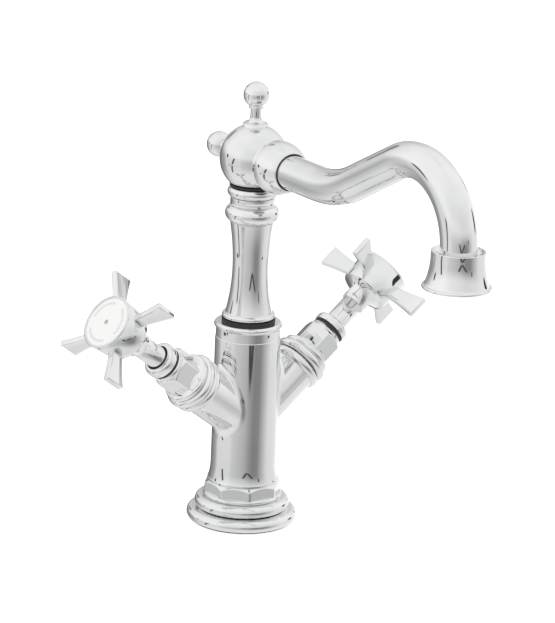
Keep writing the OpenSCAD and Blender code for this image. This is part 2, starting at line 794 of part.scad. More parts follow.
// Trumpet-shaped outlet bell, open above round the tube and open below at the water's way out.
module outlet_bell() {
    top_r = bell_top_d / 2;
    rim_edge_r = bell_rim_t / 2;
    rim_r = bell_rim_d / 2 - rim_edge_r;
    flare_z = bell_top_z - bell_straight_h;
    flare_h = flare_z - bell_rim_z - rim_edge_r;
    flare = rim_r - top_r;
    cove_r = (flare_h * flare_h + flare * flare) / (2 * flare);
    web_z = tube_end_z;
    color([0.88, 0.88, 0.9]) at_outlet() difference() {
        rotate_extrude() {
            translate([0, flare_z - cut]) square([top_r, bell_straight_h + cut]);
            difference() {
                translate([0, bell_rim_z + rim_edge_r]) square([rim_r, flare_h]);
                translate([top_r + cove_r, flare_z]) circle(r = cove_r, $fn = 360);
            }
            bead_profile(bell_rim_d / 2, bell_rim_z, bell_rim_t);
        }
        bore(top_r - bell_wall, web_z + bell_web_h, bell_above);
        bore(tube_r + fit_gap, web_z - cut, bell_web_h + 2 * cut);
        bore(aerator_r + fit_gap, bell_rim_z - cut, web_z - bell_rim_z + cut);
    }
}

module aerator_washer() {
    color([0.08, 0.08, 0.08]) at_outlet()
        ring(aerator_r - fit_gap, tube_bore_r, tube_end_z - aerator_washer_t, aerator_washer_t);
}

module aerator_housing() {
    color([0.75, 0.75, 0.77]) at_outlet() difference() {
        bore(aerator_r, aerator_z, aerator_h);
        bore(insert_r + fit_gap, aerator_z + insert_lift, aerator_h);
        bore(insert_r - insert_lip, aerator_z - cut, aerator_h);
    }
}

module aerator_insert() {
    color([0.55, 0.57, 0.6]) at_outlet() difference() {
        bore(insert_r, aerator_z + insert_lift, insert_h);
        for (row = insert_rings)
            for (i = [0 : row[1] - 1])
                rotate([0, 0, i * 360 / row[1]]) translate([row[0], 0, 0])
                    bore(aerator_hole_r, aerator_z, aerator_h);
    }
}

module seat_seal(side) {
    color([0.08, 0.08, 0.08]) on_valve(side)
        ring(cart_nose_r - seat_seal_inset, way_r + slide_gap, seat_at, seat_seal_t);
}

// Ceramic disc with two opposite ports.
module port_disc(low, ports_at) {
    difference() {
        bore(disc_r, low, disc_t);
        for (turn = [0, 180])
            rotate([0, 0, ports_at + turn]) translate([port_offset, 0, 0])
                bore(port_r, low - cut, disc_t + 2 * cut);
    }
}

module fixed_disc(side) {
    color([0.93, 0.93, 0.9]) on_valve(side) port_disc(fixed_disc_at, 0);
}

module turning_disc(side) {
    color([0.8, 0.8, 0.78]) on_valve(side) port_disc(turning_disc_at, valve_turn);
}

// Brass cartridge: nose with side windows, threaded shank, flange and a guide for the spindle.
module cartridge(side) {
    nose_at = fixed_disc_at;
    flange_top = arm_len + cart_flange_t;
    lug_pocket_r = spindle_r + lug_reach + slide_gap;
    pocket_angle = lug_angle + valve_turn + 2 * lug_slack;
    color([0.8, 0.68, 0.4]) on_valve(side) difference() {
        union() {
            bore(cart_nose_r, nose_at, cart_bore_at - nose_at + 1);
            bore(cart_r, cart_bore_at + fit_gap, arm_len - cart_bore_at);
            bore(cart_flange_r, arm_len, cart_flange_t);
            bore(cart_neck_r, flange_top, cart_top - flange_top);
        }
        bore(disc_bore_r, nose_at - cut, spindle_at + driver_t + slide_gap - nose_at + cut);
        bore(spindle_r + run_gap, nose_at, cart_top - nose_at + cut);
        translate([0, 0, lug_at - slide_gap]) rotate([0, 0, -lug_slack])
            rotate_extrude(angle = pocket_angle) square([lug_pocket_r, lug_t + 2 * slide_gap]);
        for (turn = [45, 225])
            rotate([0, 0, turn]) translate([0, 0, spindle_at + driver_t / 2]) rotate([0, 90, 0])
                cylinder(r = window_r, h = chamber_r);
    }
}

module spindle(side) {
    color([0.8, 0.68, 0.4]) on_valve(side) difference() {
        union() {
            bore(disc_r, spindle_at, driver_t);
            bore(spindle_r, spindle_at, cart_top - spindle_at);
            bore(spline_r, spindle_at, spindle_top - spindle_at);
            translate([0, 0, lug_at]) rotate_extrude(angle = lug_angle)
                square([spindle_r + lug_reach, lug_t]);
        }
        bore(screw_r + fit_gap, spindle_top - screw_hole_depth, screw_hole_depth + cut);
    }
}

// Chrome bonnet: two beads, a cone, a chamfered hexagon and a short neck.
module bonnet(side) {
    hex_top_r = hex_corner_r - hex_chamfer;
    neck_r = bonnet_neck_d / 2;
    cone_low_r = bonnet_ring_d / 2 - bonnet_ring_h / 2;
    cone_slope = (cone_low_r - hex_flats / 2) / bonnet_cone_h;
    cone_run = bonnet_cone_h + cone_overrun;
    color([0.88, 0.88, 0.9]) on_valve(side) difference() {
        union() {
            rotate_extrude() {
                bead_profile(bonnet_d / 2, bonnet_at, bonnet_bead_h);
                bead_profile(bonnet_ring_d / 2, bonnet_ring_at, bonnet_ring_h);
            }
            translate([0, 0, bonnet_cone_at])
                cylinder(r1 = cone_low_r, r2 = cone_low_r - cone_run * cone_slope, h = cone_run);
            intersection() {
                translate([0, 0, bonnet_cone_at])
                    cylinder(r = hex_corner_r, h = hex_h + bonnet_cone_h, $fn = 6);
                translate([0, 0, bonnet_cone_at])
                    cylinder(r1 = hex_top_r + hex_h + bonnet_cone_h, r2 = hex_top_r,
                        h = hex_h + bonnet_cone_h);
            }
            bore(neck_r, bonnet_ring_at - cut, cap_seal_at - bonnet_ring_at + cut);
        }
        bore(cart_flange_r + slide_gap, bonnet_at - cut, cart_flange_t + cut);
        bore(cart_neck_r + slide_gap, bonnet_at, cap_seal_at - bonnet_at + cut);
    }
}

module cap_seal(side) {
    color([0.08, 0.08, 0.08]) on_valve(side)
        ring(bonnet_neck_d / 2 - cap_seal_inset, cart_neck_r + seat_gap, cap_seal_at, cap_seal_t);
}

module cap(side) {
    cap_r = cap_d / 2;
    mouth_at = cap_top - gland_t;
    color([0.88, 0.88, 0.9]) on_valve(side) difference() {
        rotate_extrude() {
            translate([0, cap_at]) square([cap_r, cap_h - cap_round]);
            translate([0, cap_top - cap_round]) square([cap_r - cap_round, cap_round]);
            translate([cap_r - cap_round, cap_top - cap_round]) circle(r = cap_round);
        }
        bore(cart_neck_r, cap_at - cut, cap_h - gland_t - gland_seat_t + cut);
        bore(sleeve_r + slide_gap, cap_at, cap_h);
        bore(gland_r, mouth_at, gland_t + cut);
    }
}

module gland_ring(side) {
    color([0.08, 0.08, 0.08]) on_valve(side)
        ring(gland_r - fit_gap, sleeve_r + slide_gap, cap_top - gland_t, gland_t - seat_gap);
}

module sleeve(side) {
    color([0.88, 0.88, 0.9]) on_valve(side)
        ring(sleeve_r, sleeve_bore_r, sleeve_at, hub_at - sleeve_at);
}

// One flat arm, drawn in the plane of the valve's axis: its long edges are hollow arcs.
module blade() {
    hollow_len = blade_reach - blade_root_r;
    hollow = (blade_tip_w - blade_root_w) / 2;
    hollow_r = (hollow_len * hollow_len + hollow * hollow) / (2 * hollow);
    rotate([90, 0, 0]) linear_extrude(height = blade_t, center = true)
        difference() {
            translate([0, blade_at - blade_tip_w / 2]) square([blade_reach, blade_tip_w]);
            for (edge = [-1, 1])
                translate([blade_root_r, blade_at + edge * (blade_root_w / 2 + hollow_r)])
                    circle(r = hollow_r, $fn = 240);
        }
}

// Turned outline of the hub: neck, steep shoulder and the drum that holds the index disc.
module hub_profile() {
    shoulder_at = hub_at + hub_neck_h;
    polygon([
        [0, hub_at], [hub_neck_r, hub_at], [hub_neck_r, shoulder_at],
        [shoulder_r, shoulder_at + shoulder_h], [hub_r, hub_top], [0, hub_top]
    ]);
}

module cross_handle(side, cross_angle) {
    color([0.88, 0.88, 0.9]) on_valve(side) difference() {
        union() {
            rotate_extrude() hub_profile();
            for (i = [0 : blade_count - 1])
                rotate([0, 0, cross_angle + i * 360 / blade_count]) blade();
        }
        bore(sleeve_bore_r, hub_at - cut, spindle_top - hub_at + 2 * seat_gap + cut);
        bore(screw_r + screw_head_gap, hub_at, hub_h);
        bore(screw_head_r + 2 * seat_gap, screw_seat_at, hub_h);
        bore(index_r + fit_gap, index_at, hub_h);
    }
}

module handle_screw(side) {
    color([0.6, 0.6, 0.62]) on_valve(side) difference() {
        union() {
            bore(screw_head_r, screw_seat_at, screw_head_t);
            bore(screw_r, screw_seat_at - screw_len, screw_len + cut);
        }
        translate([-screw_head_r, -screw_slot_w / 2, screw_seat_at + screw_head_t - screw_slot_w])
            cube([2 * screw_head_r, screw_slot_w, screw_slot_w + cut]);
    }
}

module index_disc(side) {
    color([0.98, 0.98, 0.97]) on_valve(side) bore(index_r, index_at, index_t);
}

module bezel(side) {
    color([0.88, 0.88, 0.9]) on_valve(side)
        ring(hub_r, index_r + fit_gap, hub_top, bezel_h);
}

base_seal();
base_flange();
base_nut();
body_shank();
mixer_body();
spout_stop_screw();
swivel_washer();
swivel_stem();
stem_o_rings();
pillar();
head_seat_ring();
head_seal();
ball_head();
on_finial(0) finial();  // top_finial
on_finial(1) finial();  // rear_finial
spout_nut();
spout_nut_seal();
tube_ferrule();
spout_tube();
outlet_bell();
aerator_washer();
aerator_housing();
aerator_insert();
seat_seal(hot);  // hot_seat_seal
fixed_disc(hot);  // hot_fixed_disc
turning_disc(hot);  // hot_turning_disc
cartridge(hot);  // hot_cartridge
spindle(hot);  // hot_spindle
bonnet(hot);  // hot_bonnet
cap_seal(hot);  // hot_cap_seal
cap(hot);  // hot_cap
gland_ring(hot);  // hot_gland_ring
sleeve(hot);  // hot_sleeve
cross_handle(hot, hot_cross_angle);  // hot_cross_handle
handle_screw(hot);  // hot_handle_screw
index_disc(hot);  // hot_index_disc
bezel(hot);  // hot_bezel
seat_seal(cold);  // cold_seat_seal
fixed_disc(cold);  // cold_fixed_disc
turning_disc(cold);  // cold_turning_disc
cartridge(cold);  // cold_cartridge
spindle(cold);  // cold_spindle
bonnet(cold);  // cold_bonnet
cap_seal(cold);  // cold_cap_seal
cap(cold);  // cold_cap
gland_ring(cold);  // cold_gland_ring
sleeve(cold);  // cold_sleeve
cross_handle(cold, cold_cross_angle);  // cold_cross_handle
handle_screw(cold);  // cold_handle_screw
index_disc(cold);  // cold_index_disc
bezel(cold);  // cold_bezel
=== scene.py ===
# %% [markdown]
# # A basin mixer tap in polished chrome
#
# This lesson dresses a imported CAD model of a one-hole basin mixer: a turned column with two raised
# valve arms, a waisted pillar, a ball head with finials and a bent spout that ends in a bell.
# On the real tap each of these is brass, turned or cast, then polished and chrome plated.
# Chrome is a mirror, so its look comes from two things: surfaces with no facets, and
# surroundings that are worth mirroring. The CAD model gives every size; this script gives the rest.

# %% Load the frame
import json
import math

import bmesh
import bpy
from mathutils import Matrix, Vector


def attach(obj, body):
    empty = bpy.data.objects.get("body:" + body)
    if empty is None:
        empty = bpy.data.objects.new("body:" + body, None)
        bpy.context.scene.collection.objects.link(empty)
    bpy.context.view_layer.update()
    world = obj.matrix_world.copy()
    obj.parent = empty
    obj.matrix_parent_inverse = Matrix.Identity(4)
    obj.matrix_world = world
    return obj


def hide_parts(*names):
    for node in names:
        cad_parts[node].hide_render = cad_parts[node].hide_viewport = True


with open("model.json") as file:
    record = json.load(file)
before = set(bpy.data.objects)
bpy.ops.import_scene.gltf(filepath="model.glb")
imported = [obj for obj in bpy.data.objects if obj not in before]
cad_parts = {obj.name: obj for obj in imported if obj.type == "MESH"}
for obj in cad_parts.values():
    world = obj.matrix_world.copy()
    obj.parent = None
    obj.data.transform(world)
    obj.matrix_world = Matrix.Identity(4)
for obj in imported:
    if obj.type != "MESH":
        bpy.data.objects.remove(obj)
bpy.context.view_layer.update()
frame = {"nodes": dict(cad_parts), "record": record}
scene = bpy.context.scene

# %% [markdown]
# ## Shader maths as plain expressions
#
# A procedural finish is mostly arithmetic on coordinates. Wired by hand it is a tangle of Math
# nodes, so one small class wraps a socket and lets Python's own operators add those nodes. Every
# other node comes from one method that takes the node's type, its settings and its inputs.

# %% A wrapper for shader sockets


class Wire:
    """A socket of a node tree. Arithmetic on it adds Math nodes."""

    def __init__(self, tree, socket):
        self.tree = tree
        self.socket = socket

    def math(self, operation, *values):
        return self.tree.node("ShaderNodeMath", {"operation": operation}, [self, *values])

    def __add__(self, other):
        return self.math("ADD", other)

    def __sub__(self, other):
        return self.math("SUBTRACT", other)

    def __mul__(self, other):
        return self.math("MULTIPLY", other)

    def __truediv__(self, other):
        return self.math("DIVIDE", other)

    def __pow__(self, other):
        return self.math("POWER", other)

    def __rsub__(self, other):
        return self.tree.node("ShaderNodeMath", {"operation": "SUBTRACT"}, [other, self])

    __radd__ = __add__
    __rmul__ = __mul__


# %% A shader tree with one way to add a node


class Tree:
    """A shader node tree, emptied, whose nodes are all made by one method."""

    def __init__(self, owner):
        owner.use_nodes = True
        self.nodes = owner.node_tree.nodes
        self.links = owner.node_tree.links
        self.nodes.clear()

    def node(self, kind, settings=None, inputs=None, output=0):
        """Adds a node: its settings first, then a value or a link for each input."""
        made = self.nodes.new(kind)
        for name, value in (settings or {}).items():
            if name == "stops":
                self.set_ramp(made.color_ramp, value)
            else:
                setattr(made, name, value)
        pairs = inputs.items() if isinstance(inputs, dict) else enumerate(inputs or [])
        for name, value in pairs:
            if isinstance(value, Wire):
                self.links.new(value.socket, made.inputs[name])
            else:
                made.inputs[name].default_value = value
        return Wire(self, made.outputs[output]) if len(made.outputs) else made

    def set_ramp(self, ramp, stops):
        while len(ramp.elements) < len(stops):
            ramp.elements.new(0.5)
        for element, (place, level) in zip(ramp.elements, stops):
            element.position = place
            element.color = (*level, 1) if isinstance(level, tuple) else (level,) * 3 + (1,)

    def smooth(self, value, low, high):
        """0 below low, 1 above high, smooth between them."""
        settings = {"interpolation_type": "SMOOTHSTEP"}
        return self.node("ShaderNodeMapRange", settings, {0: value, 1: low, 2: high})

    def mix(self, factor, first, second):
        """A colour between two colours, which a Mix node takes on its inputs 6 and 7."""
        settings = {"data_type": "RGBA"}
        return self.node("ShaderNodeMix", settings, {0: factor, 6: first, 7: second}, 2)

    def place(self):
        """Object coordinates, in metres."""
        return self.node("ShaderNodeTexCoord", output=3)

    def noise(self, scale, detail, vector=None):
        inputs = {"Scale": scale, "Detail": detail, "Vector": vector or self.place()}
        return self.node("ShaderNodeTexNoise", None, inputs)

    def bump(self, height, strength, distance):
        inputs = {"Strength": strength, "Distance": distance, "Height": height}
        return self.node("ShaderNodeBump", None, inputs)

    def surface(self, **inputs):
        """Ends the tree with a Principled shader. Underscores stand for spaces."""
        named = {name.replace("_", " "): value for name, value in inputs.items()}
        shader = self.node("ShaderNodeBsdfPrincipled", None, named)
        self.node("ShaderNodeOutputMaterial", None, [shader])


def finish_named(name):
    made = bpy.data.materials.new(name)
    return made, Tree(made)


# %% [markdown]
# ## Chrome plate
#
# Chrome over polished brass is a mirror with a cool grey tint. A perfect mirror looks false: the
# real plate has faint wipe marks, which blur it a little in patches, and a very slight waviness
# left by the polishing wheel. So the roughness and a weak bump follow noise, and the colour
# hardly moves at all.

# %% Polished chrome
WIPE_SCALE, GRIME_SCALE, WAVE_SCALE = 38.0, 240.0, 70.0
WIPE_TINT, WIPE_DULL = (0.35, 0.7), (0.5, 0.8)
CHROME_DIM, CHROME_CLEAR = (0.79, 0.795, 0.80, 1), (0.85, 0.85, 0.85, 1)
PLATE_BLUR, WIPE_BLUR, GRIME_BLUR = 0.025, 0.03, 0.012
WAVE_STRENGTH, WAVE_DEPTH = 0.05, 0.0002
# the detail of a noise, in finer and finer layers
COARSE, MIDDLING, FINE = 1.0, 2.0, 3.0


def make_chrome():
    made, tree = finish_named("polished_chrome")
    wipe = tree.noise(WIPE_SCALE, FINE)
    grime = tree.noise(GRIME_SCALE, MIDDLING)
    wave = tree.noise(WAVE_SCALE, COARSE)
    tree.surface(
        Base_Color=tree.mix(tree.smooth(wipe, *WIPE_TINT), CHROME_DIM, CHROME_CLEAR),
        Metallic=1.0,
        Roughness=PLATE_BLUR + tree.smooth(wipe, *WIPE_DULL) * WIPE_BLUR + grime * GRIME_BLUR,
        Normal=tree.bump(wave, WAVE_STRENGTH, WAVE_DEPTH),
    )
    return made


chrome = make_chrome()
print("made", chrome.name)

# %% [markdown]
# ## The other finishes
#
# The dark rings are nitrile rubber, the hidden works are machined brass, stainless screws and
# lapped ceramic, and the aerator is grey plastic. Brass shows fine turning marks, which are
# stretched noise along the axis of the piece. These finishes are seen only in gaps, from below,
# or when the model is taken apart, but each one still has its own grain.

# %% Rubber, brass, steel, plastic and ceramic
TURNING_MARKS, STAIN_SCALE = (60, 60, 2600), 120.0
MARK_SHARE, MARK_BLUR, MARK_STRENGTH, MARK_DEPTH = 0.6, 0.15, 0.15, 0.00005
GLAZE_DIM, GLAZE_CLEAR = (0.86, 0.86, 0.85, 1), (0.9, 0.9, 0.89, 1)


def make_machined(name, dark, light, blur):
    """Bare metal with fine turning marks."""
    made, tree = finish_named(name)
    inputs = {"Vector": tree.place(), "Scale": TURNING_MARKS}
    marks = tree.noise(1.0, MIDDLING, tree.node("ShaderNodeMapping", None, inputs))
    stain = tree.noise(STAIN_SCALE, MIDDLING)
    tree.surface(
        Base_Color=tree.mix(marks * MARK_SHARE + stain * (1 - MARK_SHARE), dark, light),
        Metallic=1.0,
        Roughness=blur + marks * MARK_BLUR,
        Normal=tree.bump(marks, MARK_STRENGTH, MARK_DEPTH),
    )
    return made


def make_dull(name, dark, light, gloss, scale, strength=0.08, depth=0.00005):
    """Rubber, plastic or lapped ceramic: a fine grain in colour and gloss."""
    made, tree = finish_named(name)
    grain = tree.noise(scale, FINE)
    tree.surface(
        Base_Color=tree.mix(grain, dark, light),
        Roughness=gloss[0] + grain * (gloss[1] - gloss[0]),
        Normal=tree.bump(grain, strength, depth),
    )
    return made


rubber = make_dull(
    "black_rubber", (0.012, 0.012, 0.013, 1), (0.035, 0.035, 0.037, 1), (0.5, 0.7), 900,
    strength=0.2, depth=0.0001,
)
brass = make_machined("machined_brass", (0.52, 0.36, 0.16, 1), (0.72, 0.55, 0.28, 1), 0.22)
steel = make_machined("machined_steel", (0.42, 0.42, 0.43, 1), (0.6, 0.6, 0.62, 1), 0.25)
plastic = make_dull("grey_plastic", (0.42, 0.44, 0.46, 1), (0.5, 0.52, 0.54, 1), (0.3, 0.5), 700)
ceramic = make_dull("lapped_ceramic", (0.8, 0.79, 0.75, 1), (0.88, 0.87, 0.84, 1), (0.2, 0.3), 500)
glaze = make_dull("white_glaze", GLAZE_DIM, GLAZE_CLEAR, (0.08, 0.14), 300)
finishes = {
    "chrome_plated_brass": chrome,
    "black_rubber": rubber,
    "raw_brass": brass,
    "stainless_steel": steel,
    "grey_plastic": plastic,
    "valve_ceramic": ceramic,
    "white_index": glaze,
}
for entry in frame["record"]["subparts"]:
    solid = frame["nodes"][entry["node"]]
    solid.data.materials.clear()
    solid.data.materials.append(finishes[entry["material_slot"]])
print("finishes:", sorted(finishes))

# %% [markdown]
# ## Turning on a lathe
#
# Nearly every visible piece was turned, so its shape is an outline swept round an axis. The
# outline is written in millimetres as radius and height, with half-round beads and hollow coves
# as arcs. A turned edge is never razor sharp: it is broken with a file and rounded again by the
# polishing wheel, and that narrow rounding is what catches the light. So each corner of the
# outline is softened before it is swept.

# %% Outlines
ARC_TURN = math.radians(5)
ARC_SPACING = 0.7


def arc(centre, radius, start, end):
    """Points of an arc, with angles in degrees from the outline's outward direction."""
    first, last = math.radians(start), math.radians(end)
    sweep = abs(last - first)
    count = max(math.ceil(sweep / ARC_TURN), math.ceil(sweep * radius / ARC_SPACING))
    angles = [first + (last - first) * i / count for i in range(count + 1)]
    return [(centre[0] + radius * math.cos(a), centre[1] + radius * math.sin(a)) for a in angles]


def bead(outer, low, height):
    """A half-round edge, from its lower side to its upper side."""
    edge = height / 2
    return arc((outer - edge, low + edge), edge, -90, 90)


def cove(wide, wide_z, slim, slim_z):
    """A hollow arc that leaves the slim end straight along the axis, from low to high."""
    rise = abs(slim_z - wide_z)
    flare = wide - slim
    radius = (rise * rise + flare * flare) / (2 * flare)
    sweep = math.degrees(math.asin(rise / radius))
    if wide_z < slim_z:
        return arc((slim + radius, slim_z), radius, 180 + sweep, 180)
    return arc((slim + radius, slim_z), radius, 180, 180 - sweep)


print("a round bead of 2 mm takes", len(bead(10, 0, 2)), "points")

# %% Softened corners
SHARP_TURN = math.radians(24)
CORNER_STEPS = 5
NEARLY_NOTHING = 1e-6


def walk(points, start, step, reach):
    """The point that lies reach along a polyline from points[start], and the next index."""
    here = Vector(points[start])
    i = start
    while 0 <= i + step < len(points):
        there = Vector(points[i + step])
        gap = (there - here).length
        if gap >= reach:
            return here + (there - here) * (reach / gap), i + step
        reach -= gap
        here = there
        i += step
    return here, i


def soften(points, radius):
    """Rounds each sharp corner of an outline over about the given distance."""
    corners = []
    for i in range(1, len(points) - 1):
        a = Vector(points[i]) - Vector(points[i - 1])
        b = Vector(points[i + 1]) - Vector(points[i])
        if min(a.length, b.length) > NEARLY_NOTHING and a.angle(b) > SHARP_TURN:
            corners.append(i)
    result = []
    last = 0
    for i in corners:
        before, low = walk(points, i, -1, radius)
        after, high = walk(points, i, 1, radius)
        if low < last:
            result.append(points[i])
            continue
        result.extend(points[last:low + 1])
        corner = Vector(points[i])
        for k in range(CORNER_STEPS + 1):
            t = k / CORNER_STEPS
            p = before * (1 - t) ** 2 + corner * 2 * t * (1 - t) + after * t * t
            result.append((p.x, p.y))
        last = high
    result.extend(points[last:])
    return result


one_corner = soften([(0, 0), (4, 0), (4, 4)], 1)
print("an outline with one corner takes", len(one_corner), "points")

# %% The lathe itself
MM = 0.001
JOIN_WITHIN = 1e-7


def tidy_mesh(mesh_data):
    """Joins doubled points and turns every face outward."""
    work = bmesh.new()
    work.from_mesh(mesh_data)
    bmesh.ops.remove_doubles(work, verts=work.verts, dist=JOIN_WITHIN)
    bmesh.ops.recalc_face_normals(work, faces=work.faces)
    work.to_mesh(mesh_data)
    work.free()


def new_piece(name, vertices, faces, finish):
    data = bpy.data.meshes.new(name)
    data.from_pydata([tuple(v) for v in vertices], [], faces)
    tidy_mesh(data)
    data.materials.append(finish)
    data.shade_smooth()
    made = bpy.data.objects.new(name, data)
    scene.collection.objects.link(made)
    return made


def band(low, high):
    """Faces between two rings of vertex numbers. A ring that is one point gives triangles."""
    faces = []
    for i in range(len(low)):
        j = (i + 1) % len(low)
        face = list(dict.fromkeys([low[i], low[j], high[j], high[i]]))
        if len(face) > 2:
            faces.append(face)
    return faces


def turned_shell(outline, steps):
    """Vertices in metres and faces of an outline swept round the Z axis."""
    vertices = []
    rings = []
    for radius, height in outline:
        if radius < NEARLY_NOTHING:
            rings.append([len(vertices)] * steps)
            vertices.append((0, 0, height * MM))
            continue
        rings.append(list(range(len(vertices), len(vertices) + steps)))
        for i in range(steps):
            angle = math.tau * i / steps
            x, y = radius * math.cos(angle), radius * math.sin(angle)
            vertices.append((x * MM, y * MM, height * MM))
    faces = []
    for low, high in zip(rings, rings[1:]):
        faces += band(low, high)
    return vertices, faces


def turn(name, outline, finish, steps, edge, ring=False):
    """Turns a piece. A ring's outline closes on itself; any other starts and ends on the axis."""
    points = soften(outline, edge)
    if ring:
        points = soften(points + [points[0]], edge)
    vertices, faces = turned_shell(points, steps)
    return new_piece(name, vertices, faces, finish)


# %% Standing a piece in its place and fitting it


def stand(piece, where):
    """Bakes a place into the mesh, so that the object itself stays at the origin."""
    piece.data.transform(where)
    if where.determinant() < 0:
        piece.data.flip_normals()
    piece.data.update()
    return piece


def fit(piece, body, slot, *nodes):
    """Ties a finished piece to its body and hides the solids that it stands for. The slot is not
    used.
    """
    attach(piece, body)
    if nodes:
        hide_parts(*nodes)
    return piece


# %% [markdown]
# ## The foot
#
# The foot is a stepped flange of three half-round beads, with an eight-sided nut on top. A nut is
# not turned all over: its flats are milled and only its corners are turned away at the top. Both
# can be had from one rule, the smaller of two radii at every angle and height, with a soft
# minimum that rounds the edges as polishing does.

# %% Foot flange
BASE_R, STEP_R, RING_R, SHANK_R = 26.7, 23.0, 19.2, 13.9
FLANGE_Z, STEP_Z, RING_Z, NUT_Z, FOOT_Z = 0.4, 6.2, 12.2, 14.4, 20.2
flange_outline = (
    [(SHANK_R, FLANGE_Z)]
    + bead(BASE_R, FLANGE_Z, STEP_Z - FLANGE_Z)
    + bead(STEP_R, STEP_Z, RING_Z - STEP_Z)
    + bead(RING_R, RING_Z, NUT_Z - RING_Z)
    + [(SHANK_R, NUT_Z)]
)
flange = turn("foot_flange", flange_outline, chrome, steps=224, edge=0.2, ring=True)
fit(flange, "tap_body", "chrome_plated_brass", "base_flange")
print("flange:", len(flange.data.polygons), "faces")

# %% A milled nut from one rule
MILLED_STEPS, MILLED_ROWS = 360, 40
CORNER_BLEND, CHAMFER_BLEND = 0.5, 0.35


def soft_min(a, b, blend):
    """The smaller of two values, rounded where they are nearly equal."""
    h = max(blend - abs(a - b), 0) / blend
    return min(a, b) - h * h * blend / 4


def milled(name, sides, flats, low, high, chamfer, turn_deg, bore_r):
    """A chrome prism with softened corners, chamfered all round at its top, and a bore."""
    part = math.tau / sides
    corner_r = flats / 2 / math.cos(part / 2)
    angles = [math.tau * i / MILLED_STEPS for i in range(MILLED_STEPS)]
    vertices = []
    for row in range(MILLED_ROWS + 1):
        height = low + (high - low) * row / MILLED_ROWS
        limit = min(corner_r - chamfer + high - height, corner_r)
        for angle in angles:
            off = (angle - math.radians(turn_deg)) % part - part / 2
            radius = flats / 2 / math.cos(off)
            # the two flats that meet at a corner, blended so that the corner is round
            near = flats / 2 / math.cos(part - abs(off))
            radius = soft_min(soft_min(radius, near, CORNER_BLEND), limit, CHAMFER_BLEND)
            vertices.append((radius * math.cos(angle), radius * math.sin(angle), height))
    for height in (low, high):
        vertices += [(bore_r * math.cos(a), bore_r * math.sin(a), height) for a in angles]
    numbers = range(len(vertices))
    rings = [numbers[i:i + MILLED_STEPS] for i in numbers[::MILLED_STEPS]]
    *wall, bore_low, bore_high = rings
    pairs = [*zip(wall, wall[1:])]
    pairs += [(wall[0], bore_low), (wall[-1], bore_high), (bore_low, bore_high)]
    faces = [face for pair in pairs for face in band(*pair)]
    return new_piece(name, [(x * MM, y * MM, z * MM) for x, y, z in vertices], faces, chrome)


# %% Foot nut
SHARP_EDGE = math.radians(50)
NUT_SIDES, NUT_FLATS, NUT_CHAMFER, NUT_TURN = 8, 34.8, 1.8, -5.0
foot_nut = milled(
    "foot_nut", NUT_SIDES, NUT_FLATS, NUT_Z, FOOT_Z, NUT_CHAMFER,
    turn_deg=180 / NUT_SIDES + NUT_TURN, bore_r=SHANK_R,
)
foot_nut.data.set_sharp_from_angle(angle=SHARP_EDGE)
fit(foot_nut, "tap_body", "chrome_plated_brass", "base_nut")
print("foot nut:", len(foot_nut.data.polygons), "faces")

# %% [markdown]
# ## The body
#
# The column and its two arms are one casting. Where a round arm meets a round column the pattern
# maker leaves a fillet, narrow above the arm and wide below it, and in polished chrome it is easy
# to see. It is the path of a ball that rolls in the corner, touching both cylinders: for each
# angle round the arm the ball's centre is found, and an arc joins its two points of touch.

# %% The column
COLUMN_R, COLUMN_TOP_R, LIP_R, FOOT_LEDGE, FOOT_LIP, COVE_H = 15.8, 15.7, 17.2, 0.3, 1.0, 8.3
BAND_R, BAND_Z, BAND_STEP, COLLAR_R, COLLAR_Z, BODY_H = 15.4, 92.5, 0.15, 16.4, 97.2, 100.0
COLLAR_CROWN, COLUMN_EDGE, COLUMN_STEPS = 1.0, 0.25, 256
SHAFT_Z = FOOT_Z + FOOT_LIP + COVE_H


def column_radius(height):
    share = (height - SHAFT_Z) / (BAND_Z - SHAFT_Z)
    return COLUMN_R + (COLUMN_TOP_R - COLUMN_R) * share


collar = bead(COLLAR_R, COLLAR_Z, BODY_H - COLLAR_Z)
column_outline = (
    [(0, FOOT_Z), (LIP_R, FOOT_Z), (LIP_R, FOOT_Z + FOOT_LIP)]
    + cove(LIP_R - FOOT_LEDGE, FOOT_Z + FOOT_LIP, COLUMN_R, SHAFT_Z)
    + [(COLUMN_TOP_R, BAND_Z), (BAND_R, BAND_Z + BAND_STEP), (BAND_R, COLLAR_Z)]
    + [p for p in collar if p[0] > BAND_R or p[1] > BODY_H - COLLAR_CROWN]
    + [(0, BODY_H)]
)
column_vertices, column_faces = turned_shell(soften(column_outline, COLUMN_EDGE), COLUMN_STEPS)
print("column:", len(column_faces), "faces")

# %% The fillet between arm and column
RISE = math.radians(36.4)
VALVE_Z, ARM_R = 50.1, 11.7
FILLET_TOP_R, FILLET_LOW_R, FILLET_EASE, FILLET_STEPS = 2.6, 9.0, 1.5, 10
FIRST_GUESS, LEAST_SLOPE, SEARCH_ROUNDS, SUNK = 16.0, 0.2, 40, 2.5
VALVE_PLACE = {
    "hot": Matrix.Translation((0, 0, VALVE_Z * MM)) @ Matrix.Rotation(RISE - math.pi / 2, 4, "Y"),
    "cold": Matrix.Translation((0, 0, VALVE_Z * MM)) @ Matrix.Rotation(math.pi / 2 - RISE, 4, "Y"),
}


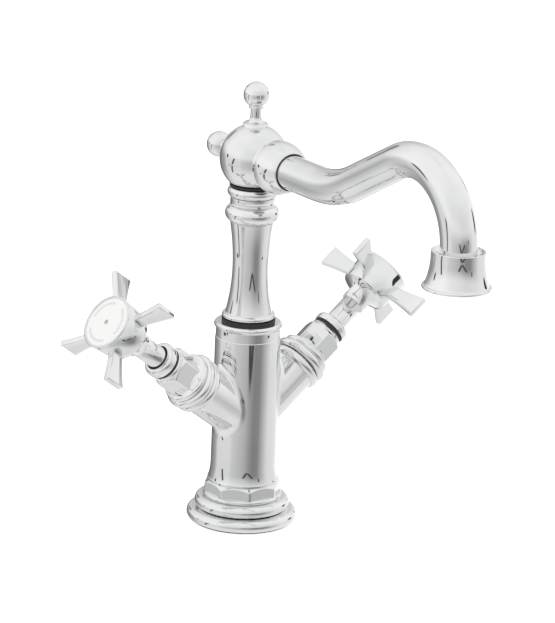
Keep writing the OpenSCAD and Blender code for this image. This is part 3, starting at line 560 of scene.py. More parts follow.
def fillet_strip(origin, axis, spoke):
    """Points of the fillet across one line of the arm, and how far out it leaves the arm."""
    # 0 on top of the arm, 1 below it
    low = max(0.0, 0.5 - 0.5 * spoke.z / math.cos(RISE))
    fillet_r = FILLET_TOP_R + (FILLET_LOW_R - FILLET_TOP_R) * low**FILLET_EASE
    along = FIRST_GUESS
    for _ in range(SEARCH_ROUNDS):
        centre = origin + axis * along + spoke * (ARM_R + fillet_r)
        flat = Vector((centre.x, centre.y, 0))
        error = flat.length - column_radius(centre.z) - fillet_r
        slope = flat.normalized().dot(Vector((axis.x, axis.y, 0)))
        along -= error / max(slope, LEAST_SLOPE)
    centre = origin + axis * along + spoke * (ARM_R + fillet_r)
    flat = Vector((centre.x, centre.y, 0)).normalized()
    to_column, to_arm = -flat, -spoke
    sweep = to_column.angle(to_arm)
    strip = []
    for k in range(FILLET_STEPS + 1):
        share = k / FILLET_STEPS
        a = math.sin((1 - share) * sweep) / math.sin(sweep)
        b = math.sin(share * sweep) / math.sin(sweep)
        strip.append(centre + (to_column * a + to_arm * b) * fillet_r)
    return [strip[0] - flat * SUNK] + strip, along


# %% An arm with its fillet
ARM_LEN, ARM_FLANGE_R, ARM_FLANGE_H, ARM_MOUTH_R = 39.5, 13.6, 4.5, 8.0
ARM_EDGE, ROOT_EDGE, ARM_STEPS, ARM_RUNS = 0.3, 0.4, 192, 12


def arm_shell(side):
    """An arm with its fillet, as one closed shell that ends inside the column."""
    turn_only = VALVE_PLACE[side].to_3x3()
    origin = Vector((0, 0, VALVE_Z))
    axis = turn_only @ Vector((0, 0, 1))
    root = ARM_LEN - ARM_FLANGE_H
    flange_points = [p for p in bead(ARM_FLANGE_R, root, ARM_FLANGE_H) if p[0] > ARM_R]
    outer = soften(
        [(ARM_R, root - ROOT_EDGE), (ARM_R, root)] + flange_points + [(ARM_MOUTH_R, ARM_LEN)],
        ARM_EDGE,
    )
    columns = []
    for i in range(ARM_STEPS):
        around = math.tau * i / ARM_STEPS
        spoke = turn_only @ Vector((math.cos(around), math.sin(around), 0))
        strip, along = fillet_strip(origin, axis, spoke)
        run = outer[0][1] - along
        middle = [origin + axis * (along + run * k / ARM_RUNS) + spoke * ARM_R
                  for k in range(1, ARM_RUNS)]
        far = [origin + axis * h + spoke * r for r, h in outer]
        columns.append(strip + middle + far)
    count = len(columns[0])
    vertices = [p * MM for column in columns for p in column]
    rings = [range(k, len(vertices), count) for k in range(count)]
    faces = [face for pair in zip(rings, rings[1:]) for face in band(*pair)]
    for k in (0, count - 1):
        hub = sum((column[k] for column in columns), Vector()) / ARM_STEPS * MM
        faces += band(rings[k], [len(vertices)] * ARM_STEPS)
        vertices.append(hub)
    return vertices, faces


# %% The casting
body_vertices = list(column_vertices)
body_faces = list(column_faces)
for side in ("hot", "cold"):
    more_vertices, more_faces = arm_shell(side)
    shift = len(body_vertices)
    body_vertices += more_vertices
    body_faces += [[i + shift for i in face] for face in more_faces]
casting = new_piece("body_casting", body_vertices, body_faces, chrome)
casting.data.set_sharp_from_angle(angle=SHARP_EDGE)
fit(casting, "tap_body", "chrome_plated_brass", "mixer_body")
print("casting:", len(casting.data.polygons), "faces")

# %% [markdown]
# ## The pillar and its rings
#
# The pillar is turned from bar: a small bead at the foot, a long waist that flares both ways, and
# a round bead under the neck. The waist is two hollow arcs that meet at the narrowest place with
# one tangent, so the reflections run through without a break.

# %% Pillar and seat ring
PILLAR_Z, LOW_Z, WAIST_Z, BEAD_Z, NECK_Z, SEAT_Z, SEAL_Z, FLAT_Z = (
    101.9, 104.5, 127.5, 149.4, 157.8, 161.5, 166.8, 167.8,
)
FOOT_BEAD_R, LOW_R, WAIST_R, HIGH_R, BEAD_R, NECK_R, SEAT_RING_R, SEAT_BORE_R = (
    12.9, 11.3, 8.55, 10.5, 13.0, 10.7, 12.2, 8.0,
)
pillar_outline = (
    [(0, PILLAR_Z)]
    + bead(FOOT_BEAD_R, PILLAR_Z, LOW_Z - PILLAR_Z)
    + cove(LOW_R, LOW_Z, WAIST_R, WAIST_Z)
    + cove(HIGH_R, BEAD_Z, WAIST_R, WAIST_Z)[1:]
    + bead(BEAD_R, BEAD_Z, NECK_Z - BEAD_Z)
    + [(NECK_R, NECK_Z), (NECK_R, SEAT_Z), (0, SEAT_Z)]
)
pillar = turn("waisted_pillar", pillar_outline, chrome, steps=224, edge=0.25)
fit(pillar, "spout", "chrome_plated_brass", "pillar")
seat_outline = [(SEAT_BORE_R, SEAT_Z)] + bead(SEAT_RING_R, SEAT_Z, SEAL_Z - SEAT_Z)
seat_outline += [(SEAT_BORE_R, SEAL_Z)]
seat_ring = turn("seat_ring", seat_outline, chrome, steps=192, edge=0.25, ring=True)
fit(seat_ring, "spout", "chrome_plated_brass", "head_seat_ring")
print("pillar:", len(pillar.data.polygons), "faces")

# %% [markdown]
# ## The ball head
#
# The ball is turned too, about its upright axis, and carries a boss turned about the spout's axis.
# Ball and boss are two turned shells that overlap: polished chrome shows a crisp line where they
# meet, just as the real head does.

# %% Ball and boss
BALL_R, FLAT_R = 16.45, 10.7
BALL_Z = FLAT_Z + math.sqrt(BALL_R**2 - FLAT_R**2)
BOSS_R, BOSS_FROM, BOSS_LEN = 9.8, 4.0, 26.8
SWING = math.radians(-5.5)
HEAD = Matrix.Translation((0, 0, BALL_Z * MM)) @ Matrix.Rotation(SWING - math.pi / 2, 4, "Z")
SPOUT_AXIS = HEAD @ Matrix.Rotation(math.pi / 2, 4, "Y")
REAR = HEAD @ Matrix.Rotation(-math.pi / 2, 4, "Y")

flat_turn = -math.degrees(math.acos(FLAT_R / BALL_R))
ball_outline = [(0, FLAT_Z - BALL_Z)] + arc((0, 0), BALL_R, flat_turn, 90)
ball_outline[-1] = (0, BALL_R)
ball = stand(turn("ball", ball_outline, chrome, steps=224, edge=0.2), HEAD)
fit(ball, "spout", "chrome_plated_brass", "ball_head")
boss_outline = [(0, BOSS_FROM), (BOSS_R, BOSS_FROM), (BOSS_R, BOSS_LEN), (0, BOSS_LEN)]
boss = stand(turn("boss", boss_outline, chrome, steps=192, edge=0.3), SPOUT_AXIS)
fit(boss, "spout", "chrome_plated_brass", "ball_head")
print("ball centre at", round(BALL_Z, 2), "mm")

# %% The nut that holds the spout
NUT_R, NUT_FROM, NUT_BELLY, NUT_TO, CROWN_R, MOUTH_R, MOUTH_DEPTH = (
    12.8, 18.8, 21.0, 32.1, 19.0, 8.9, 3.0,
)
crown_back = math.degrees(math.asin((NUT_FROM - NUT_BELLY) / CROWN_R))
crown_front = math.degrees(math.asin((NUT_TO - NUT_BELLY) / CROWN_R))
nut_outline = (
    [(BOSS_R, NUT_FROM)]
    + arc((NUT_R - CROWN_R, NUT_BELLY), CROWN_R, crown_back, crown_front)
    + [(MOUTH_R, NUT_TO), (MOUTH_R, NUT_TO - MOUTH_DEPTH), (BOSS_R, NUT_TO - MOUTH_DEPTH)]
)
spout_nut = turn("round_spout_nut", nut_outline, chrome, steps=192, edge=0.2, ring=True)
stand(spout_nut, SPOUT_AXIS)
fit(spout_nut, "spout", "chrome_plated_brass", "spout_nut")
print("spout nut:", len(spout_nut.data.polygons), "faces")

# %% Finials
FINIAL_REACH, FINIAL_R, FINIAL_FOOT_R, FINIAL_NECK_R, FINIAL_COLLAR_R = 30.6, 6.2, 5.9, 2.65, 3.5
FINIAL_FOOT_H, FINIAL_SUNK, FINIAL_LEDGE, FLARE_LIFT = 1.6, 1.0, 0.3, 0.2
COLLAR_DROP, COLLAR_ROUND, COLLAR_TO, KNOB_FROM = 0.7, 1.0, 47, -56
foot_at = math.sqrt(BALL_R**2 - FINIAL_FOOT_R**2)
foot_top = foot_at + FINIAL_FOOT_H
foot_low = foot_at - FINIAL_SUNK
flare_wide = FINIAL_FOOT_R - FINIAL_LEDGE
flare_low = foot_top + FLARE_LIFT
flare_top = flare_low + flare_wide - FINIAL_NECK_R
collar_at = FINIAL_REACH - FINIAL_R - COLLAR_DROP + COLLAR_ROUND
finial_outline = (
    [(0, foot_low), (FINIAL_FOOT_R, foot_low), (FINIAL_FOOT_R, foot_top), (flare_wide, foot_top)]
    + cove(flare_wide, flare_low, FINIAL_NECK_R, flare_top)
    + arc((FINIAL_COLLAR_R - COLLAR_ROUND, collar_at), COLLAR_ROUND, -90, COLLAR_TO)
    + arc((0, FINIAL_REACH), FINIAL_R, KNOB_FROM, 90)
)
finial_outline[-1] = (0, FINIAL_REACH + FINIAL_R)
for name, place in (("top_finial", HEAD), ("rear_finial", REAR)):
    finial = turn(name.replace("_", "_turned_"), finial_outline, chrome, steps=144, edge=0.12)
    stand(finial, place)
    fit(finial, "spout", "chrome_plated_brass", name)
print("finials:", len(finial_outline), "points in the outline")

# %% [markdown]
# ## The spout
#
# The spout is a straight tube bent twice on a former, so its shape follows a rule: a round section
# swept along a line of straight runs and arcs. That is a job for Geometry Nodes. The route is a
# plain curve; the tree sets a round profile on it, caps the ends and sets the finish. The tube's
# radius is a named input, the result is turned into a plain mesh at the end, and then smoothed.

# %% A Geometry Nodes tree from a short description
def geometry_tree(name, sizes):
    """An empty tree with a geometry input, number inputs and a geometry output."""
    tree = bpy.data.node_groups.new(name, "GeometryNodeTree")
    side = tree.interface.new_socket
    side("Geometry", in_out="INPUT", socket_type="NodeSocketGeometry")
    for label, value in sizes.items():
        kind = "NodeSocketInt" if isinstance(value, int) else "NodeSocketFloat"
        side(label, in_out="INPUT", socket_type=kind).default_value = value
    side("Geometry", in_out="OUTPUT", socket_type="NodeSocketGeometry")
    entry = tree.nodes.new("NodeGroupInput")
    leave = tree.nodes.new("NodeGroupOutput")
    return tree, entry, leave


def add(tree, kind, settings=None, **inputs):
    """Adds a node. Each input is a value or the socket that feeds it."""
    made = tree.nodes.new(kind)
    for key, value in (settings or {}).items():
        setattr(made, key, value)
    for key, value in inputs.items():
        target = made.inputs[key.replace("_", " ")]
        if isinstance(value, bpy.types.NodeSocket):
            tree.links.new(value, target)
        else:
            target.default_value = value
    return made


def finish_tree(tree, leave, geometry, finish):
    """Ends a tree in Realize Instances and Set Material."""
    real = add(tree, "GeometryNodeRealizeInstances", Geometry=geometry)
    painted = add(tree, "GeometryNodeSetMaterial", Geometry=real.outputs[0], Material=finish)
    tree.links.new(painted.outputs[0], leave.inputs[0])


def grow(source, tree, name, **sizes):
    """Runs a tree on an object and returns the result as a plain mesh object."""
    modifier = source.modifiers.new("grow", "NODES")
    modifier.node_group = tree
    for item in tree.interface.items_tree:
        if item.in_out == "INPUT" and item.name in sizes:
            modifier[item.identifier] = sizes[item.name]
    source.data.update_tag()
    evaluated = source.evaluated_get(bpy.context.evaluated_depsgraph_get())
    data = bpy.data.meshes.new_from_object(evaluated)
    data.name = name
    made = bpy.data.objects.new(name, data)
    scene.collection.objects.link(made)
    bpy.data.objects.remove(source)
    tidy_mesh(data)
    return made


# %% The spout's route
TUBE_R, TUBE_FROM, BEND_AT, BEND_R, RUN_RISE, ARCH_R, REACH, DROP = (
    8.3, 15.0, 54.5, 62.6, math.radians(27.6), 32.4, 163.6, 9.3,
)
RUN_STATIONS, DROP_STATIONS = 12, 4
RUN_FROM = (BEND_AT + BEND_R * math.sin(RUN_RISE), BEND_R * (1 - math.cos(RUN_RISE)))
ARCH_X = REACH - ARCH_R
RUN_TO_X = ARCH_X - ARCH_R * math.sin(RUN_RISE)
RUN_LEN = (RUN_TO_X - RUN_FROM[0]) / math.cos(RUN_RISE)
ARCH_Z = RUN_FROM[1] + RUN_LEN * math.sin(RUN_RISE) - ARCH_R * math.cos(RUN_RISE)
TUBE_END_Z = ARCH_Z - DROP


def spout_route():
    """Points of the tube's centreline in its own upright plane, in millimetres."""
    rise = math.degrees(RUN_RISE)
    steps = range(1, RUN_STATIONS)
    points = [(TUBE_FROM, 0)]
    points += [(TUBE_FROM + (BEND_AT - TUBE_FROM) * i / RUN_STATIONS, 0) for i in steps]
    points += arc((BEND_AT, BEND_R), BEND_R, -90, -90 + rise)
    points += [(RUN_FROM[0] + (RUN_TO_X - RUN_FROM[0]) * i / RUN_STATIONS,
                RUN_FROM[1] + RUN_LEN * math.sin(RUN_RISE) * i / RUN_STATIONS) for i in steps]
    points += arc((ARCH_X, ARCH_Z), ARCH_R, 90 + rise, 0)
    points += [(REACH, ARCH_Z - DROP * i / DROP_STATIONS) for i in range(1, DROP_STATIONS + 1)]
    return points


route = spout_route()
print("route:", len(route), "stations")

# %% The tube along the route
TUBE_SIZES = {"Tube radius": TUBE_R * MM, "Sides": 96}
CUT_EDGE = math.radians(40)


def tube_tree():
    """Sweeps a round section along a curve and caps its ends."""
    tree, entry, leave = geometry_tree("swept_tube", TUBE_SIZES)
    section = add(
        tree, "GeometryNodeCurvePrimitiveCircle",
        Resolution=entry.outputs["Sides"], Radius=entry.outputs["Tube radius"],
    )
    swept = add(
        tree, "GeometryNodeCurveToMesh",
        Curve=entry.outputs["Geometry"], Profile_Curve=section.outputs["Curve"], Fill_Caps=True,
    )
    finish_tree(tree, leave, swept.outputs[0], chrome)
    return tree


route_curve = bpy.data.curves.new("spout_route", "CURVE")
route_curve.dimensions = "3D"
line = route_curve.splines.new("POLY")
line.points.add(len(route) - 1)
for point, (x, z) in zip(line.points, route):
    point.co = (x * MM, 0, z * MM, 1)
route_object = bpy.data.objects.new("spout_route", route_curve)
scene.collection.objects.link(route_object)
tube = grow(route_object, tube_tree(), "bent_spout_tube", **TUBE_SIZES)
tube.data.shade_smooth()
tube.data.set_sharp_from_angle(angle=CUT_EDGE)
stand(tube, HEAD)
fit(tube, "spout", "chrome_plated_brass", "spout_tube")
print("tube:", len(tube.data.polygons), "faces")

# %% [markdown]
# ## The outlet bell
#
# The bell is a thin turned trumpet that slides over the tube's end and hides the aerator. Its wall
# shows at the open top, where a dark gap runs round the tube, and at the rolled rim below.

# %% Bell
OUTLET = HEAD @ Matrix.Translation((REACH * MM, 0, 0))
BELL_TOP_R, BELL_RIM_R, BELL_WALL, RIM_T, STRAIGHT_H, AERATOR_R = 12.1, 15.6, 1.2, 1.6, 2.6, 11.3
BELL_OVER, BELL_UNDER, SOCKET_DEPTH, RIM_TO, RIM_GAP = 8.9, 8.1, 3.5, 106, 0.1
BELL_TOP_Z = TUBE_END_Z + BELL_OVER
BELL_RIM_Z = TUBE_END_Z - BELL_UNDER
SOCKET_Z = TUBE_END_Z + SOCKET_DEPTH
bell_bore_r = BELL_TOP_R - BELL_WALL
rim_edge = RIM_T / 2
rim_centre = (BELL_RIM_R - rim_edge, BELL_RIM_Z + rim_edge)
rim = arc(rim_centre, rim_edge, -90, RIM_TO)
flare = cove(*rim_centre, BELL_TOP_R, BELL_TOP_Z - STRAIGHT_H)
bell_outline = (
    [(AERATOR_R, BELL_RIM_Z)]
    + rim
    + [p for p in flare if p[1] > rim[-1][1] + RIM_GAP]
    + [(BELL_TOP_R, BELL_TOP_Z), (bell_bore_r, BELL_TOP_Z), (bell_bore_r, SOCKET_Z)]
    + [(TUBE_R, SOCKET_Z), (TUBE_R, TUBE_END_Z), (AERATOR_R, TUBE_END_Z)]
)
bell = turn("trumpet_bell", bell_outline, chrome, steps=224, edge=0.25, ring=True)
stand(bell, OUTLET)
fit(bell, "spout", "chrome_plated_brass", "outlet_bell")
print("bell rim at", round(BALL_Z + BELL_RIM_Z, 2), "mm")

# %% [markdown]
# ## The valves
#
# Each valve stands on its arm: a bonnet with two beads and a hexagon for the spanner, a dark ring,
# a round cap, and a sleeve that carries the cross handle. All of it is drawn upright, along the
# valve's own axis, and then laid over on the arm by one matrix for each side.

# %% Bonnet, cap and sleeve
BONNET_AT, BONNET_R, BONNET_RING_R, BONNET_BORE_R, CONE_EDGE = 39.8, 14.0, 12.4, 7.3, 1.5
RING_AT, CONE_AT, HEX_AT, NECK_AT = 44.2, 47.2, 49.5, 59.5
SEAL_AT, CAP_AT, CAP_TOP = 61.2, 63.1, 67.6
HEX_FLATS, HEX_CHAMFER, NECK_VALVE_R, NECK_SUNK = 18.0, 1.6, 8.2, 1.0
CAP_R, CAP_ROUND, CAP_BORE_R, GLAND_R, GLAND_T = 8.6, 2.2, 7.0, 6.2, 1.2
SLEEVE_R, SLEEVE_BORE_R, SLEEVE_AT, SLEEVE_SUNK = 5.3, 3.7, 64.0, 0.2
HUB_AT, HUB_TOP = 81.2, 104.4


def tube_outline(outer, inner, low, high):
    return [(inner, low), (outer, low), (outer, high), (inner, high)]


bonnet_outline = (
    [(BONNET_BORE_R, BONNET_AT)]
    + bead(BONNET_R, BONNET_AT, RING_AT - BONNET_AT)
    + bead(BONNET_RING_R, RING_AT, CONE_AT - RING_AT)
    + [(BONNET_RING_R - CONE_EDGE, CONE_AT), (HEX_FLATS / 2, HEX_AT), (BONNET_BORE_R, HEX_AT)]
)
cap_outline = (
    [(CAP_BORE_R, CAP_AT), (CAP_R, CAP_AT)]
    + arc((CAP_R - CAP_ROUND, CAP_TOP - CAP_ROUND), CAP_ROUND, 0, 90)
    + [(GLAND_R, CAP_TOP), (GLAND_R, CAP_TOP - GLAND_T), (CAP_BORE_R, CAP_TOP - GLAND_T)]
)
neck_outline = tube_outline(NECK_VALVE_R, BONNET_BORE_R, NECK_AT - NECK_SUNK, SEAL_AT)
sleeve_outline = tube_outline(SLEEVE_R, SLEEVE_BORE_R, SLEEVE_AT, HUB_AT + SLEEVE_SUNK)
print("from bonnet to hub:", round(HUB_AT - BONNET_AT, 1), "mm")

# %% [markdown]
# ## The cross handles
#
# A cross handle is a turned hub with four flat arms. One arm is drawn by its outline, whose long
# edges are hollow arcs, and a small bevel breaks its edges. A Geometry Nodes tree then repeats it
# round the hub, with the number of arms and the first angle as named inputs.

# %% One arm of the cross
BLADE_REACH, BLADE_T, TIP_W, ROOT_W, BLADE_ROOT_R, BLADE_FROM = 29.8, 3.2, 11.6, 6.8, 8.8, 2.0
BLADE_DROP, BLADE_BEVEL, BEVEL_STEPS, EDGE_STEPS = 7.2, 0.8, 4, 24
BLADE_AT = HUB_TOP - BLADE_DROP


def blade_mesh(name):
    """A flat arm along +X whose long edges are hollow arcs, as a source for the tree."""
    length = BLADE_REACH - BLADE_ROOT_R
    hollow = (TIP_W - ROOT_W) / 2
    radius = (length**2 + hollow**2) / (2 * hollow)
    edge = [(BLADE_FROM, ROOT_W / 2)]
    for i in range(EDGE_STEPS + 1):
        x = length * i / EDGE_STEPS
        edge.append((BLADE_ROOT_R + x, ROOT_W / 2 + radius - math.sqrt(radius**2 - x**2)))
    loop = edge + [(x, -w) for x, w in reversed(edge)]
    work = bmesh.new()
    half = BLADE_T / 2
    near = [work.verts.new((x * MM, -half * MM, (BLADE_AT + w) * MM)) for x, w in loop]
    far = [work.verts.new((x * MM, half * MM, (BLADE_AT + w) * MM)) for x, w in loop]
    count = len(loop)
    for i in range(count // 2 - 1):
        j = count - 1 - i
        work.faces.new([near[i], near[i + 1], near[j - 1], near[j]])
        work.faces.new([far[i], far[j], far[j - 1], far[i + 1]])
    for i in range(count):
        j = (i + 1) % count
        work.faces.new([near[i], far[i], far[j], near[j]])
    bmesh.ops.recalc_face_normals(work, faces=work.faces)
    data = bpy.data.meshes.new(name)
    work.to_mesh(data)
    work.free()
    made = bpy.data.objects.new(name, data)
    scene.collection.objects.link(made)
    soft = made.modifiers.new("edges", "BEVEL")
    soft.width = BLADE_BEVEL * MM
    soft.segments = BEVEL_STEPS
    soft.limit_method = "ANGLE"
    soft.angle_limit = CUT_EDGE
    return made


print("arm:", BLADE_REACH, "mm from the axis to the tip")


# %% The arms repeated round the hub


def cross_tree():
    """Repeats an arm round the Z axis."""
    tree, entry, leave = geometry_tree("arms_round_hub", {"Arms": 4, "First angle": 0.0})
    spots = add(tree, "GeometryNodePoints", Count=entry.outputs["Arms"])
    index = add(tree, "GeometryNodeInputIndex")
    step = add(tree, "ShaderNodeMath", {"operation": "DIVIDE"})
    step.inputs[0].default_value = math.tau
    tree.links.new(entry.outputs["Arms"], step.inputs[1])
    turned = add(tree, "ShaderNodeMath", {"operation": "MULTIPLY_ADD"})
    tree.links.new(index.outputs[0], turned.inputs[0])
    tree.links.new(step.outputs[0], turned.inputs[1])
    tree.links.new(entry.outputs["First angle"], turned.inputs[2])
    spin = add(tree, "ShaderNodeCombineXYZ", Z=turned.outputs[0])
    placed = add(
        tree, "GeometryNodeInstanceOnPoints",
        Points=spots.outputs[0], Instance=entry.outputs["Geometry"], Rotation=spin.outputs[0],
    )
    finish_tree(tree, leave, placed.outputs[0], chrome)
    return tree


arms_tree = cross_tree()
print(arms_tree.name + ":", len(arms_tree.nodes), "nodes")

# %% Hub, disc and bezel
HUB_R, HUB_NECK_R, HUB_NECK_H, SHOULDER_R, SHOULDER_H = 13.4, 6.2, 6.2, 12.2, 2.6
INDEX_R, INDEX_AT, INDEX_TOP, BEZEL_TOP, DOME, DISC_GAP = 12.5, 103.2, 105.0, 105.2, 0.2, 0.02
recess_r = INDEX_R + DISC_GAP
shoulder_at = HUB_AT + HUB_NECK_H
hub_outline = [
    (0, HUB_AT), (HUB_NECK_R, HUB_AT), (HUB_NECK_R, shoulder_at),
    (SHOULDER_R, shoulder_at + SHOULDER_H), (HUB_R, HUB_TOP), (recess_r, HUB_TOP),
    (recess_r, INDEX_AT), (0, INDEX_AT),
]
bezel_outline = tube_outline(HUB_R, recess_r, HUB_TOP, BEZEL_TOP)
dome_r = (INDEX_R**2 + DOME**2) / (2 * DOME)
dome_half = math.degrees(math.asin(INDEX_R / dome_r))
index_outline = (
    [(0, INDEX_AT), (INDEX_R, INDEX_AT), (INDEX_R, INDEX_TOP)]
    + arc((0, INDEX_TOP + DOME - dome_r), dome_r, 90 - dome_half, 90)[1:]
)
index_outline[-1] = (0, INDEX_TOP + DOME)
print("index disc:", 2 * INDEX_R, "mm across")

# %% [markdown]
# ## The index discs
#
# A white glazed disc is let into each hub. Three rows of fine printed strokes run near its rim, and
# a small dot marks its centre. The print is part of the glaze, so it belongs to the material: a
# Mapping node lays the object's coordinates flat on the disc, and distance and angle from the
# centre give the ring and the strokes.

# %% White glaze with a printed ring
STROKES, GROUPS, GROUP_SHIFT = 60, 3, 0.25
STROKE_EDGE, GAP_EDGE = (0.12, 0.2), (0.28, 0.3)
BAND_INNER, BAND_OUTER, DOT_EDGE = (0.0089, 0.0091), (0.0103, 0.0105), (0.0011, 0.0013)
INK, INK_SHARE, GLAZE_GRAIN = (0.12, 0.12, 0.13, 1), 0.6, 400.0
DISC_BLUR, DISC_GRAIN_BLUR, DISC_COAT, DISC_BUMP, DISC_DEPTH = 0.07, 0.06, 0.4, 0.05, 0.00004


def make_index(side):
    made, tree = finish_named(side + "_index_glaze")
    place = VALVE_PLACE[side]
    flat = tree.node(
        "ShaderNodeMapping", {"vector_type": "TEXTURE"},
        {"Vector": tree.place(), "Location": place.to_translation(), "Rotation": place.to_euler()},
    )
    x = tree.node("ShaderNodeSeparateXYZ", None, [flat])
    y = Wire(tree, x.socket.node.outputs[1])
    radius = (x * x + y * y) ** 0.5
    angle = tree.node("ShaderNodeMath", {"operation": "ARCTAN2"}, [y, x])
    phase = (angle * (STROKES / math.tau)).math("FRACT")
    stroke = 1 - tree.smooth((phase - 0.5).math("ABSOLUTE"), *STROKE_EDGE)
    row = tree.smooth(radius, *BAND_INNER) * (1 - tree.smooth(radius, *BAND_OUTER))
    gaps = tree.smooth((angle * (GROUPS / math.tau) + GROUP_SHIFT).math("FRACT"), *GAP_EDGE)
    dot = 1 - tree.smooth(radius, *DOT_EDGE)
    ink = (stroke * row * gaps + dot).math("MINIMUM", 1.0)
    grain = tree.noise(GLAZE_GRAIN, MIDDLING)
    tree.surface(
        Base_Color=tree.mix(ink * INK_SHARE, tree.mix(grain, GLAZE_DIM, GLAZE_CLEAR), INK),
        Roughness=DISC_BLUR + grain * DISC_GRAIN_BLUR,
        Coat_Weight=DISC_COAT,
        Normal=tree.bump(grain, DISC_BUMP, DISC_DEPTH),
    )
    return made


# %% Both valves
HEX_EDGE = math.radians(32)
HOT_CROSS, COLD_CROSS = 35.3, 17.8
# each ring's name, outline, steps and softened edge, whether it turns, and the node it stands for
VALVE_RINGS = [
    ("bonnet_beads", bonnet_outline, 176, 0.2, False, "bonnet"),
    ("bonnet_neck", neck_outline, 128, 0.15, False, "bonnet"),
    ("round_cap", cap_outline, 144, 0.15, False, "cap"),
    ("stem_sleeve", sleeve_outline, 112, 0.15, True, "sleeve"),
    ("disc_bezel", bezel_outline, 176, 0.2, True, "bezel"),
]


def build_valve(side, first_angle):
    place = VALVE_PLACE[side]
    handle = side + "_handle"
    for name, outline, steps, edge, turning, node in VALVE_RINGS:
        ring = stand(turn(f"{side}_{name}", outline, chrome, steps, edge, ring=True), place)
        body = handle if turning else "tap_body"
        fit(ring, body, "chrome_plated_brass", f"{side}_{node}")
    hexagon = milled(
        side + "_bonnet_hexagon", 6, HEX_FLATS, CONE_AT, NECK_AT, HEX_CHAMFER,
        turn_deg=0, bore_r=BONNET_BORE_R,
    )
    hexagon.data.set_sharp_from_angle(angle=HEX_EDGE)
    fit(stand(hexagon, place), "tap_body", "chrome_plated_brass", side + "_bonnet")
    hub = stand(turn(side + "_hub", hub_outline, chrome, steps=176, edge=0.2), place)
    fit(hub, handle, "chrome_plated_brass", side + "_cross_handle")
    settings = {"Arms": 4, "First angle": math.radians(first_angle)}
    arms = grow(blade_mesh("arm_outline"), arms_tree, side + "_cross_arms", **settings)
    arms.data.shade_smooth()
    fit(stand(arms, place), handle, "chrome_plated_brass", side + "_cross_handle")
    glazed = turn(side + "_glazed_disc", index_outline, make_index(side), steps=176, edge=0.3)
    fit(stand(glazed, place), handle, "white_index", side + "_index_disc")
    print(side, "cross arms:", len(arms.data.polygons), "faces")


build_valve("hot", HOT_CROSS)
build_valve("cold", COLD_CROSS)

# %% [markdown]
# ## The camera
#
# The camera stands where the photograph's camera stood: a little above the tap, in front and to
# the left, with a long lens. Its back axis, right and up directions are the columns of its matrix.

# %% Camera
CAMERA_TURN, CAMERA_RISE, CAMERA_ROLL = (math.radians(v) for v in (-39.55, 16.28, 2.25))
CAMERA_FAR, CAMERA_RIGHT, CAMERA_UP, LENS = 1.6746, 0.0138, 0.1008, 198.4
back = Vector((
    math.sin(CAMERA_TURN) * math.cos(CAMERA_RISE),
    -math.cos(CAMERA_TURN) * math.cos(CAMERA_RISE),
    math.sin(CAMERA_RISE),
))
right = Vector((math.cos(CAMERA_TURN), math.sin(CAMERA_TURN), 0))
up = back.cross(right)
eye = back * CAMERA_FAR + right * CAMERA_RIGHT + up * CAMERA_UP
rolled_right = right * math.cos(CAMERA_ROLL) + up * math.sin(CAMERA_ROLL)
rolled_up = up * math.cos(CAMERA_ROLL) - right * math.sin(CAMERA_ROLL)
lens = bpy.data.cameras.new("photo_camera")
lens.lens = LENS
lens.clip_end = 20
camera = bpy.data.objects.new("photo_camera", lens)
axes = Matrix((rolled_right, rolled_up, back)).transposed().to_4x4()
camera.matrix_world = Matrix.Translation(eye) @ axes
scene.collection.objects.link(camera)
scene.camera = camera
print("camera at", [round(c, 3) for c in eye])

# %% [markdown]
# ## Surroundings worth mirroring
#
# A chrome object on white is photographed in a white tent. The tent isn't even: one side is
# brighter, the back is dim, and its roof and floor have shades of their own. It also has thin dark
# seams that lean, short dark streaks low down and a few small dark flags. All of that shows in the
# chrome, as long soft bands with a few crisp dark lines, so the world is painted as such a tent.
# Only mirror-like rays see it. The camera sees plain white, and soft light comes in evenly.

# %% The tent's walls, roof and floor
# brightness by the angle round the tap, in degrees to the right of the camera
WALLS = [
    (-180, 0.17), (-154, 0.17), (-117, 0.45), (-104, 0.80), (-50, 0.80), (-40, 0.68), (0, 0.52),
    (20, 0.34), (32, 0.26), (50, 0.28), (60, 0.42), (74, 0.62), (90, 0.84), (135, 0.92),
    (150, 1.08), (180, 1.10),
]
ROOF = [
    (-180, 0.62), (-150, 0.80), (-115, 1.05), (-60, 1.08), (-20, 0.92), (30, 0.84), (80, 0.90),
    (130, 1.05), (160, 0.80), (180, 0.62),
]
ROOF_FROM, ROOF_SHARE = (-0.16, 0.2), 0.9
SKY_FROM, SKY_SHARE, SKY = (0.3, 0.8), 0.8, (1.0, 1.0, 1.0, 1)
GROUND_FROM, GROUND_SHARE, GROUND = (-0.35, -0.8), 0.85, (0.92, 0.92, 0.92, 1)


def shade_ramp(tree, share, shades):
    """A ramp whose stops are given as an angle in degrees and a brightness."""
    stops = [((angle + 180) / 360, level) for angle, level in shades]
    return tree.node("ShaderNodeValToRGB", {"stops": stops}, [share])


def paint_walls(tree, angle, height):
    turn_share = angle / math.tau + 0.5
    walls = shade_ramp(tree, turn_share, WALLS)
    roof = shade_ramp(tree, turn_share, ROOF)
    tent = tree.mix(tree.smooth(height, *ROOF_FROM) * ROOF_SHARE, walls, roof)
    tent = tree.mix(tree.smooth(height, *SKY_FROM) * SKY_SHARE, tent, SKY)
    return tree.mix(tree.smooth(height, *GROUND_FROM) * GROUND_SHARE, tent, GROUND)


# %% Seams, streaks and flags
# a seam: angle, lean, half width, lowest and highest place; the angle is where it is still upright
SEAMS = [(-78, 30, 4.0, -0.62, -0.02), (18, -70, 5.0, -0.25, -0.09), (8, 110, 5.0, -0.25, -0.09)]
SEAM_EDGE, SEAM_FADE = (0.4, 1.2), 0.04
